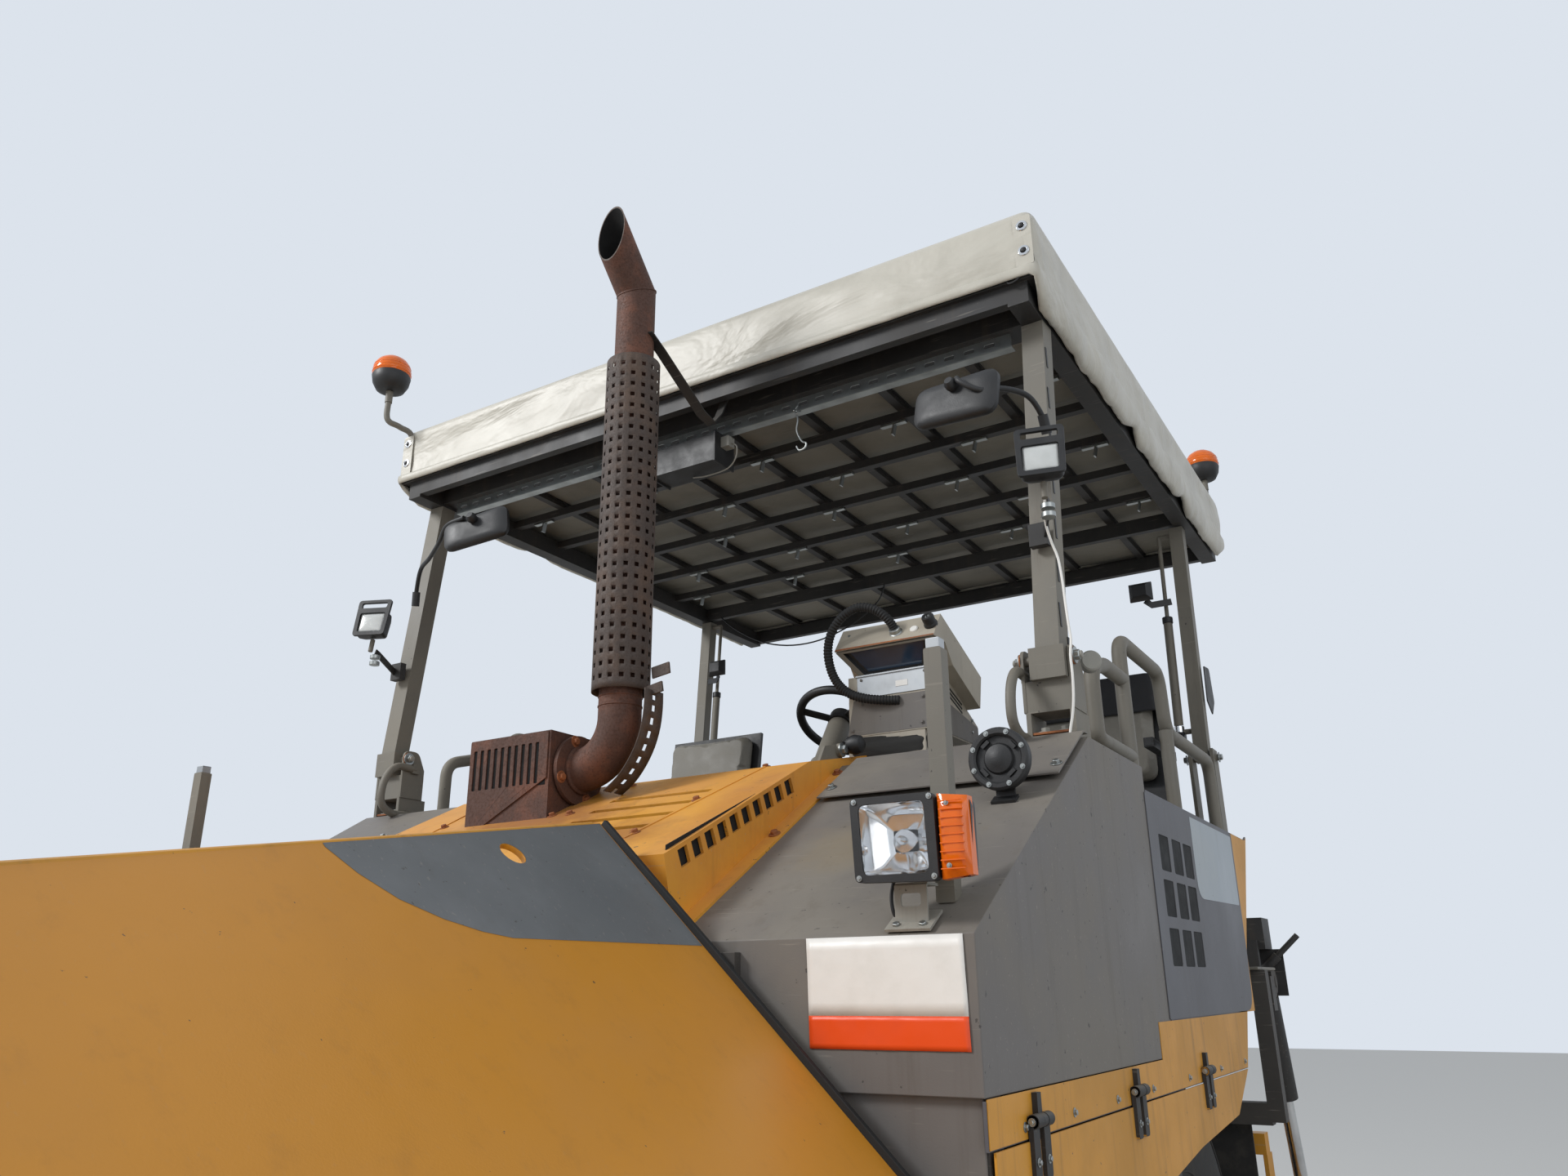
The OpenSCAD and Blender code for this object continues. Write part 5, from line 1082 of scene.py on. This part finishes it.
def shrunk(quad, share):
    middle = sum(quad, Vector()) / 4
    return [middle + (p - middle) * share for p in quad]


consoleSet = {"under": [(535, 857, 2478), (833, 857, 2478), (797, 908, 2411), (585, 908, 2411)]}
under = [spot(*p) for p in consoleSet["under"]]
inward = Vector((0, 0.8, 0.6)) * 0.012
steps = [under, shrunk(under, 0.86), [p + inward for p in shrunk(under, 0.84)], [p + inward for p in shrunk(under, 0.76)]]
for a, b, finish in zip(steps, steps[1:], (0, 1, 1)):
    addQuadRing(bm, a, b, finish)
# the pane: dark tint, with the sky's blue reflection painted into its colour
bm.faces.new([bm.verts.new(p) for p in steps[-1]]).material_index = 2
makePiece("consoleWindow", bm, [postGrey, blackPlastic, screenTintSkyReflection], edge=0)
bm = bmesh.new()
headFace = Vector((0, -0.8, 0.6))
at = spot(817, 883, 2521)
addLathe(bm, at, headFace, [(19, -4), (19, 5), (17, 8), (17.5, 26), (15.5, 30), (9, 30), (8.5, 27), (0.1, 27)], 1, 32)
addLathe(bm, at + headFace * 0.0272, headFace, [(7, 0), (7, 1.2), (0.1, 1.2)], 3, 20)
addBox(bm, (816, 818), (857, 861), (2531, 2541), 1, turn=(37, 0, 0))
addLathe(bm, spot(768, 879, 2515), headFace, [(12, -2), (12, 2), (9.5, 4.5), (0.1, 5)], 4, 28)
addLathe(bm, spot(713, 882, 2514), headFace, [(19, -2), (19, 3), (16, 5), (16, 15), (14.5, 17)], 3, 28)
for x in (560, 800):
    addBolt(bm, spot(x, 893, 2533), headFace, 5, 3)
addPlate(bm, flatPlace(spot(533, 855.3, 2482.5), alongX, Vector((0, 56, 74))), [(0, 0), (301, 0), (301, 5), (0, 7)], 0.8, finish=5)
addPlate(bm, flatPlace(spot(579, 899.5, 2350), alongX, alongZ), oblong(0, 0, 216, 60), 2.5)
addBox(bm, (576, 798), (893, 899), (2409, 2413), 0)
addBox(bm, (697, 733), (896, 897.2), (2368, 2384), 4)
addPlate(bm, flatPlace(spot(545, 901, 2247), alongX, alongZ), [(0, 0), (245, 0), (249, 98), (20, 98)], 2, finish=6)
for side, x in ((1, 795.6), (-1, 549.4)):
    cheek = [(903, 2247), (1226, 2247), (1226, 2300), (985, 2340), (903, 2345)]
    addPlate(bm, flatPlace(spot(x, 0, 0), alongY, alongZ), cheek, 1.2 * side, finish=6)
for x, z in ((560, 2262), (770, 2262), (590, 2332), (775, 2332), (592, 2400), (784, 2400)):
    addBolt(bm, spot(x, 898.5, z), -alongY, 7, 6)
for y, z in ((985, 2280), (1180, 2280), (985, 2400), (1185, 2315)):
    addBolt(bm, spot(795.5, y, z), alongX, 7, 3)
for z in (2340, 2352, 2364):
    addBox(bm, (795, 796.5), (1010, 1120), (z, z + 5), 1, turn=(-20, 0, 0))
makePiece("consoleDress", bm, [aluminium, blackPlastic, postGrey, zincSteel, paperWhite, copperRust, greyEnamel], edge=0.5)
bm = bmesh.new()
rings = []
for k in range(18):  # slack fabric boot between the base and the crown
    z, ring = 2164 + k * 5.2, []
    for n, p in enumerate(rounded(oblong(548, 905, 772, 1077), 24)):
        away = Vector((p.x - 660, p.y - 991, 0)).normalized()
        slack = math.sin(math.pi * k / 17) * (9 + 10 * noise.noise(Vector((p.x, p.y, z * 2.2)) / 45))
        slack += 4 * noise.noise(Vector((p.x, p.y, z)) / 20)
        ring.append(spot(p.x, p.y, z) + away * slack / 1000)
    rings.append(ring)
addRings(bm, rings, ends=False)
makePiece("consoleBellows", bm, [gaiterCloth], edge=0, thick=1.5)
bm = bmesh.new()  # steering wheel: horn pad, spinner knob and column shroud
hub, tilt = spot(290, 1330, 2405), Vector((0, math.sin(math.radians(35)), math.cos(math.radians(35))))
addLathe(bm, hub, tilt, [(40, 14), (38, 22), (26, 28), (0.1, 30)], 0, 32)
grip = hub + (alongX * 0.5 + tilt.cross(alongX) * 0.86).normalized() * 0.136
addLathe(bm, grip, tilt, [(7, 12), (7, 22), (20, 24), (24, 34), (22, 46), (10, 53), (0.1, 54)], 0, 28)
addLathe(bm, hub, -tilt, [(34, 16), (38, 30), (38, 190), (46, 200), (46, 262), (30, 275)], 1, 36)
addRod(bm, hub - tilt * 0.11, hub - tilt * 0.11 + alongX * 0.12 + tilt * 0.02, 9, 0, 14)
addLathe(bm, hub - tilt * 0.11 + alongX * 0.12 + tilt * 0.02, alongX, [(9, -4), (12, 4), (9, 16), (0.1, 20)], 0, 20)
makePiece("steeringDress", bm, [blackPlastic, postGrey], edge=0.8)
print("stage: console")

# guard rails: bent tubes on foot plates, marker posts and the rear rail
railSet = {"x": 1192, "tube": 42, "main": ((1345, 2082), (1345, 2535), (1797, 2535), (1812, 2346), (2410, 2346), (2410, 2082)),
           "grab": ((1345, 2414), (1165, 2414), (1038, 2380), (1038, 2200), (1070, 2192), (1345, 2192)), "rear": (-700, 0, 700)}
bm = bmesh.new()
for key, radius in (("main", 62), ("grab", 70)):
    addTube(bm, bentPath([spot(railSet["x"], y, z) for y, z in railSet[key]], radius, 8), railSet["tube"], sides=24)
addRod(bm, spot(railSet["x"], 1810, 2080), spot(railSet["x"], 1810, 2350), railSet["tube"])
for y in (1345, 1810, 2410):
    addLathe(bm, spot(railSet["x"], y, 2080), alongZ, [(45, 0), (45, 7), (43, 8), (24, 8), (22, 12)], 0, 32)
    for a in (45, 135, 225, 315):
        addBolt(bm, spot(railSet["x"] + 35 * math.cos(math.radians(a)), y + 35 * math.sin(math.radians(a)), 2088), alongZ, 9, 1)
addPlate(bm, flatPlace(spot(1146, 86, 0), alongX, alongZ), oblong(0, 1736, 36, 2203), -32, radius=5)
makePiece("sideRails", bm, [postGrey, zincSteel], edge=0.6, mirror=True, standsFor=("guard_rails",))
bm = bmesh.new()
loop = [spot(x, 2910, z) for x, z in ((-700, 1652), (-700, 2560), (700, 2560), (700, 1652))]
addTube(bm, bentPath(loop, 90, 8), railSet["tube"], sides=24)
addRod(bm, spot(0, 2910, 1652), spot(0, 2910, 2560), railSet["tube"])
addTube(bm, [spot(-700, 2910, 2110), spot(700, 2910, 2110)], 34, sides=20)
for x in railSet["rear"]:
    addLathe(bm, spot(x, 2910, 1650), alongZ, [(39, 0), (39, 8), (24, 8), (22, 12)], 0, 32)
makePiece("rearRail", bm, [postGrey], edge=0)

# feet of the front posts: cheek plates, pins with rusty washers, base bolts, grab handle
bm = bmesh.new()
for x in (1099, 1217):
    addPlate(bm, flatPlace(spot(x, 764, 2214), alongY, alongZ), [(0, 0, 2), (92, 0, 2), (92, 100, 8), (62, 160, 30), (0, 160, 26)], 8)
for x, way in ((1099, -alongX), (1226, alongX)):
    addLathe(bm, spot(x, 783, 2345), way, [(22, 0), (22, 3)], 1, 28)
    addBolt(bm, spot(x, 783, 2345) + way * 0.003, way, 22, 2)
    addLathe(bm, spot(x, 783, 2345) + way * 0.016, way, [(9, 0), (9, 6), (6, 8)], 3, 20)
addLathe(bm, spot(1228, 905, 2352), Vector((0.5, -1, 0)), [(24, 0), (26, 3), (26, 30), (22, 34)], 3, 28)
addBox(bm, (1112, 1214), (768, 860), (2160, 2165), 1)
for x, y in ((1140, 790), (1190, 790), (1140, 850), (1190, 850)):
    addBolt(bm, spot(x, y, 2165), alongZ, 20, 3)
handle = ((812, 2314), (735, 2312), (692, 2262), (686, 2190), (730, 2157), (806, 2157))
addRoute(bm, [(1096, y, z) for y, z in handle], 25, 0, 20, 8)
for y, z in ((812, 2314), (806, 2157)):
    addBox(bm, (1086, 1108), (y - 14, y + 12), (z - 16, z + 16))
makePiece("postFeet", bm, [postGrey, copperRust, zincSteel, creamEnamel], edge=1.2, mirror=True)
bm = bmesh.new()
addBox(bm, (1204.5, 1209), (812, 836), (2372, 2402), 0)  # rubber end of the wire duct
for z in (2420, 2540, 2660, 2790, 2920, 3050, 3180):
    y, x = 783 + 117 * (z - 2330) / 1050, 1174 + 6 * (z - 2330) / 1050
    addBox(bm, (x + 30.5, x + 32), (y - 18, y - 8), (z, z + 62), 0)
makePiece("postTape", bm, [blackPlastic], edge=0.3, mirror=True)
bm = bmesh.new()
for s in (1, -1):  # rear posts: pin ends, strut clevises, mirror-like shield and a small work lamp
    for way, x in ((alongX, 1209), (-alongX, 1097)):
        addBolt(bm, spot(s * x, 2540, 2381), way * s, 20, 1)
    addBox(bm, sorted((s * 1060, s * 1100)), (2526, 2566), (2440, 2486), 0)
    addLathe(bm, spot(s * 1080, 2545, 2480), Vector((0, 45, 470)), [(12, 0), (20, 6), (20, 30), (17, 34)], 2, 24)
    addLathe(bm, spot(s * 1080, 2588, 2930), Vector((0, 32, 354)), [(17, 0), (20, 4), (20, 26), (9, 30)], 0, 24)
    addTube(bm, [spot(s * 1110, 2560, 3010), spot(s * 1040, 2530, 3000), spot(s * 1020, 2520, 3020)], 26, 0, flat=(5, alongZ))
    addStepped(bm, s * 1012, 2500, 3048, 44, 36, ((0, 1), (-10, 1), (-34, 0.6)))
    shield = [(0, 40, 8), (20, 180, 8), (110, 190, 20), (130, 60, 20), (70, 0, 8)]
    addPlate(bm, flatPlace(spot(s * 1190, 2560, 2560), alongY, alongZ), shield, 4 * s)
makePiece("rearPostDress", bm, [blackPlastic, zincSteel, brightSteel], edge=0.8)
print("stage: rails and posts")

# black hinge lugs of the lower flaps with their pins
flapSet = {"ys": (210, 836, 1503), "axis": (1262, 1383)}
for side, body in ((1, "side_flap_l"), (-1, "side_flap_r")):
    bm = bmesh.new()
    x, z = side * flapSet["axis"][0], flapSet["axis"][1]
    for y in flapSet["ys"]:
        for a, b in ((12, 40), (-40, -12)):
            addRod(bm, spot(x, y + a, z), spot(x, y + b, z), 23.4, 0, 24)
            lug = [(y + a - 1, z - 91, 8), (y + b + 1, z - 91, 8), (y + b + 1, z, 4), (y + a - 1, z, 4)]
            addPlate(bm, flatPlace(spot(side * 1253.4, 0, 0), alongY, alongZ), lug, 9.4 * side)
            addBolt(bm, spot(side * 1262.8, y + (a + b) / 2, z - 62), alongX * side, 8, 1)
        for way in (1, -1):
            addBolt(bm, spot(x, y + way * 44, z), alongY * way, 7, 1)
    makePiece("flapLugs" + "LR"[side < 0], bm, [blackEnamel, zincSteel], body=body, edge=0.6)

# swivel seats: swollen cushions with sewn seams, and a black head cover on each back
seatSet = {"xs": (885, -785), "base": (440, 420, 88), "back": (440, 392, 68), "radius": 55, "cap": 0.016, "voxel": 0.007, "pressure": 4,
           "foot": (2110, 2098), "lean": 8, "frames": 20}


def makeCushion(name, place, size, crown):
    w, h, t = size
    bm, rings = bmesh.new(), []
    for high, inset in ((0, 26), (4, 12), (14, 6), (t * 0.55, 5), (t - 26, 9), (t - 10, 24), (t - crown, 52), (t - 3, 110)):
        flat = rounded(oblong(inset, inset, w - inset, h - inset), max(seatSet["radius"] - inset, 8), 6)
        rings.append([place @ Vector((p.x, p.y, high)) for p in flat])
    addRings(bm, rings)
    piece = makePiece(name, bm, [seatVinyl], edge=0, angle=80)
    bpy.context.view_layer.objects.active = piece
    grid = piece.modifiers.new("grid", "REMESH")
    grid.mode, grid.voxel_size = "VOXEL", seatSet["voxel"]
    bpy.ops.object.modifier_apply(modifier="grid")
    swell = piece.modifiers.new("swell", "CLOTH")
    swell.settings.use_pressure, swell.settings.uniform_pressure_force = True, seatSet["pressure"]
    swell.settings.effector_weights.gravity = 0
    swell.point_cache.frame_start, swell.point_cache.frame_end = 1, seatSet["frames"]
    for n in range(1, seatSet["frames"] + 1):
        bpy.context.scene.frame_set(n)
    swollen = [v.co.copy() for v in piece.evaluated_get(bpy.context.evaluated_depsgraph_get()).data.vertices]
    piece.modifiers.remove(swell)
    bpy.context.scene.frame_set(1)
    for v, co in zip(piece.data.vertices, swollen):
        step = co - v.co
        v.co += step * min(1, seatSet["cap"] / max(step.length, 1e-6))
    flat = place.inverted()
    for v in piece.data.vertices:  # sewn channels across the top, and nothing past the cushion's own box
        p = flat @ v.co
        top = max(0, min(1, (p.z - t * 0.45) / (t * 0.3)))
        for line in (w * 0.24, w * 0.76):
            p.z -= top * 7 * math.exp(-((p.x - line) / 7) ** 2)
        p.z -= top * 5 * math.exp(-((p.y - h * 0.6) / 7) ** 2)
        v.co = place @ Vector((min(max(p.x, 0), w), min(max(p.y, 0), h), min(max(p.z, 0), t)))
    piece.modifiers.new("smoother", "SUBSURF").levels = 1
    piece.modifiers["smoother"].render_levels = 1
    return piece


def flatFrame(origin, across, upward, normal):  # flat millimetres to the scene's metres
    return Matrix.Translation(origin) @ Matrix((across, upward, normal)).transposed().to_4x4() @ Matrix.Scale(0.001, 4)


tilt = math.radians(seatSet["lean"])
seatUp, seatBack = Vector((0, math.sin(tilt), math.cos(tilt))), Vector((0, math.cos(tilt), -math.sin(tilt)))
for n, x in enumerate(seatSet["xs"]):
    side = "LR"[n]
    base = makeCushion("seatBase" + side, flatFrame(spot(x - 220, 1660, 2111), alongX, alongY, alongZ), seatSet["base"], 0)
    foot = spot(x + 220, *seatSet["foot"]) - seatBack * 0.0085 + seatUp * 0.127
    back = makeCushion("seatBack" + side, flatFrame(foot, -alongX, seatUp, -seatBack), seatSet["back"], 0)
    for piece in (base, back):
        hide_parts("seat_cushions")
    if n:  # only the near seat wears a head cover
        continue
    bm, rings = bmesh.new(), []
    for z, inset in ((372, -1), (380, -2), (430, 0), (470, 1), (505, 5), (520, 14), (528, 30)):
        ring = rounded(oblong(inset - 231, inset - 85, 231 - inset, 14 - inset), 26, 6)
        highs = [z + 5 * noise.noise(Vector((p.x, p.y, x)) / 60) * (z < 400) for p in ring]
        rings.append([spot(x + p.x, *seatSet["foot"]) + seatBack * p.y / 1000 + seatUp * high / 1000 for p, high in zip(ring, highs)])
    addRings(bm, rings, ends=False)
    bm.faces.new([bm.verts.new(p) for p in rings[-1]])
    cover = makePiece("seatHood" + side, bm, [hoodFabric], edge=0, thick=1.2, angle=80)
bm = bmesh.new()
for x in seatSet["xs"]:  # arm pads, side controls and the back shell's ribs
    for s in (1, -1):
        pad = ((-1, -0.9), (1, -0.9), (1, 0.5), (0.6, 0.9), (-0.6, 0.9), (-1, 0.5))
        widths = ((1778, 10), (1786, 15), (1960, 16), (2078, 14), (2082, 8))
        addRings(bm, [[spot(x + s * 257 + a * w, y, 2316 + b * 15) for a, b in pad] for y, w in widths])
    addBox(bm, (x + 205, x + 240), (1840, 1960), (2080, 2112), 0)
    addRod(bm, spot(x + 240, 1880, 2096), spot(x + 262, 1880, 2096), 22, 0, 20)
    addRod(bm, spot(x - 130, 1664, 2092), spot(x + 60, 1650, 2092), 14, 0, 14)
    for z in range(2110, 2170, 12):
        addLathe(bm, spot(x - math.copysign(60, x), 1900, z - 62), alongZ, [(60.5, 0), (66, 3), (66, 8), (60.5, 11)], 0, 32)
makePiece("seatDress", bm, [blackPlastic], edge=1.2)
print("stage: seats")

# drive tyres: bulged carcass with swept lugs, inside the size of the plain tyre
tyreSet = {"x": 855, "y": 1900, "z": 690, "lugs": 22, "deep": 31, "sweep": 0.2,
           "wall": ((321, 172), (330, 186), (348, 194), (380, 205), (430, 211), (515, 214), (590, 206), (634, 190), (654, 164), (658, 110)),
           "crown": ((0, 689), (115, 689), (163, 679), (189, 655), (206, 600))}


def crownAt(x):
    for (a, ra), (b, rb) in zip(tyreSet["crown"], tyreSet["crown"][1:]):
        if x <= b:
            return ra + (rb - ra) * (x - a) / (b - a)
    return 600


frontSet = {"x": 950, "z": 280, "ys": (-930, -270), "bolts": 8}
for side, body in ((1, "l"), (-1, "r")):
    t, bm = tyreSet, bmesh.new()
    hub = spot(side * t["x"], t["y"], t["z"])
    profile = [(r, w) for r, w in t["wall"]] + [(r, -w) for r, w in reversed(t["wall"])]
    addLathe(bm, hub, alongX, profile + [profile[0]], 0, 88, ends=False)
    for w in (1, -1):
        for r, bead in ((372, 206), (392, 210), (600, 208)):
            addLathe(bm, hub, alongX * w, [(r - 5, 196), (r - 3, bead), (r + 3, bead), (r + 5, 196)], 0, 88, ends=False)
    for n in range(t["lugs"] * 2):
        w, start = (1, -1)[n % 2], math.tau * (n // 2 + 0.5 * (n % 2)) / t["lugs"]
        rings = []
        for k in range(7):
            across = 6 + 196 * k / 6
            top, low = crownAt(across), 650 - 46 * max(0, (across - 150) / 52) ** 1.5
            a, thick = start + t["sweep"] * (k / 6) ** 0.85, 0.036 + 0.008 * k / 6
            ring = []
            for r, d in ((low - 4, -thick), (top, -thick * 0.72), (top, thick * 0.72), (low - 4, thick)):
                ring.append(hub + Vector((w * across, r * math.sin(a + d), r * math.cos(a + d))) / 1000)
            rings.append(ring)
        addRings(bm, rings)
    makePiece("driveTyre" + body.upper(), bm, [tyreRubber], body="drive_wheel_" + body, edge=1.5,
              standsFor=("rear_tyre_" + body,), angle=40)
    bm = bmesh.new()
    out = alongX * side
    addLathe(bm, hub, out, [(317, 196), (306, 190), (300, 150), (290, 60), (262, 24), (240, 20), (150, 12), (120, 30),
                            (112, 70), (104, 78), (0.1, 80)], 0, 64)
    addLathe(bm, hub, out, [(96, 76), (96, 84), (60, 90), (0.1, 90)], 1, 40)
    for n in range(12):
        a = n * math.tau / 12
        addBolt(bm, hub + out * 0.016 + around(a, 0.19), out, 27, 2)
        addRod(bm, hub + out * 0.02 + around(a, 0.19), hub + out * 0.052 + around(a, 0.19), 20, 2, 14)
    addRod(bm, hub + out * 0.185 + alongZ * 0.285, hub + out * 0.2 + alongZ * 0.278, 9, 3, 10)
    makePiece("driveRim" + body.upper(), bm, [yellowEnamel, greyEnamel, zincSteel, blackPlastic], body="drive_wheel_" + body, edge=0.8)
    for n, y in enumerate(frontSet["ys"], 1):  # solid rubber front wheels on painted rims
        bm = bmesh.new()
        hub = spot(side * frontSet["x"], y, frontSet["z"])
        rim = [(159.5, 146), (159.5, 149.5), (152, 149.5), (150, 140)]
        addLathe(bm, hub, out, rim + [(148, 20), (120, 11), (60, 11), (52, 40), (44, 46), (0.1, 47)], 0, 56)
        addLathe(bm, hub, -out, rim + [(148, 46), (120, 41)], 0, 56, ends=False)
        for k in range(frontSet["bolts"]):
            a = (k + 0.5) * math.tau / frontSet["bolts"]
            addBolt(bm, hub + out * 0.0112 + around(a, 0.092), out, 19, 1)
        makePiece("frontRim" + body.upper() + str(n), bm, [yellowEnamel, zincSteel], body="front_wheel_" + body + str(n), edge=0.8)
print("stage: wheels")

# rear: raised tread on the deck, step and walkways, lids of the screed box, rear plate bolts and tail lamps
treadSet = {"pitch": 44, "long": 0.014, "wide": 0.0045, "high": 0.0016, "top": 0.7}


def addTread(bm, x, y, z, finish=0):  # lozenges turned alternately, as rolled tread plate has them
    pitch = treadSet["pitch"]
    for i in range(int((x[1] - x[0]) / pitch)):
        for j in range(int((y[1] - y[0]) / pitch)):
            centre, way = spot(x[0] + (i + 0.5) * pitch, y[0] + (j + 0.5) * pitch, z), (1, -1)[(i + j) % 2]
            along, over = Vector((0.7, 0.7 * way, 0)) * treadSet["long"], Vector((-0.7 * way, 0.7, 0)) * treadSet["wide"]
            low = [bm.verts.new(centre + p) for p in (along, over, -along, -over)]
            high = [bm.verts.new(centre + p * treadSet["top"] + alongZ * treadSet["high"]) for p in (along, over, -along, -over)]
            bm.faces.new(high).material_index = finish
            for k in range(4):
                bm.faces.new((low[k - 1], low[k], high[k], high[k - 1])).material_index = finish


bm = bmesh.new()
addTread(bm, (-990, 990), (1240, 3120), 1650)
addTread(bm, (-310, 310), (3135, 3305), 1310)
for s in (1, -1):
    addTread(bm, sorted((s * 1010, s * 1222)), (2610, 3120), 1650)
makePiece("deckTread", bm, [postGrey], edge=0)
for side, body in ((1, "screed_extension_l"), (-1, "screed_extension_r")):
    bm = bmesh.new()
    addTread(bm, sorted((side * 20, side * 1240)), (4052, 4248), 400, finish=1)
    addTread(bm, sorted((side * 20, side * 1225)), (3735, 3800), 400, finish=1)
    for y in (3330, 3560, 3800, 4160):  # gate bolts
        for z in (60, 360):
            addBolt(bm, spot(side * 1270, y, z), alongX * side, 16, 2)
    addBox(bm, sorted((side * 1250, side * 1270)), (4225, 4250), (400, 424), 0)
    for x in (180, 520, 860, 1160):
        addBox(bm, (side * x - 5, side * x + 5), (4050, 4235), (345, 380), 0)
    makePiece("extensionDress" + "LR"[side < 0], bm, [yellowEnamel, wornSteel, zincSteel], body=body, edge=0)
bm = bmesh.new()
for x in (-590, 8):  # lids with lift handles over the screed's service box
    addPlate(bm, flatPlace(spot(x, 3438, 1000), alongX, alongY), oblong(0, 0, 582, 194), 6, radius=14)
    lift = ((240, 1004), (242, 1038), (340, 1038), (342, 1004))
    addRoute(bm, [(x + d, 3535, z) for d, z in lift], 12, 1, 12, 4)
    for d in (90, 490):
        addRod(bm, spot(x + d, 3434, 1003), spot(x + d + 60, 3434, 1003), 12, 1, 12)
        addBox(bm, (x + d + 10, x + d + 50), (3638.5, 3644), (930, 985), 1)
for x in range(-540, 541, 120):
    addBolt(bm, spot(x, 3640.4, 700), alongY, 11, 1)
    addBolt(bm, spot(x, 3640.4, 880), alongY, 11, 1)
for x in range(-1150, 1151, 230):
    if abs(x) > 620:
        addBolt(bm, spot(x, 3540, 640), alongZ, 19, 1)
makePiece("screedDress", bm, [yellowEnamel, zincSteel], body="screed", edge=1.5)
bm = bmesh.new()
for s in (1, -1):
    for x in (60, 240, 420, 600, 780, 960):
        for z in (1450, 1620):
            addBolt(bm, spot(s * x, 3138, z), alongY, 12, 0)
    addBox(bm, (s * 870 - 92, s * 870 + 92), (3138, 3156), (1492, 1578), 1)
    for x, width, finish in ((902, 52, 2), (822, 30, 3)):
        addStepped(bm, s * x, 3156, 1535, width, 36, ((0, 1), (14, 1), (18, 0.93)), finish)
    addPlate(bm, flatPlace(spot(s * 700, 3138.2, 1500), alongX, alongZ), oblong(-40, 0, 40, 70, 3), -3, finish=2)
makePiece("tailLamps", bm, [zincSteel, blackPlastic, redLens, amberLens], edge=1)
print("stage: rear")

# softened edges on the plates and housings that carry on from the part itself
edgeSet = {"hood": 2.5, "front_cowls": 3, "side_shells": 2.5, "canopy_posts": 2.5, "roof_grid": 1.2, "console": 2, "rear_box": 2,
           "tow_arms": 3, "screed_body": 2.5, "push_beam": 4, "main_frame": 2.5, "outriggers": 2.5, "operator_deck": 2.5,
           "auger_frame": 2.5, "hopper_base": 2.5, "wing_l": 2.5, "wing_r": 2.5, "side_flap_l": 1.2, "side_flap_r": 1.2, "seat_frames": 3}
for name, width in edgeSet.items():
    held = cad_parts[name]
    held.modifiers.new("weld", "WELD").merge_threshold = 0.00002
    soften(held, width, 38)
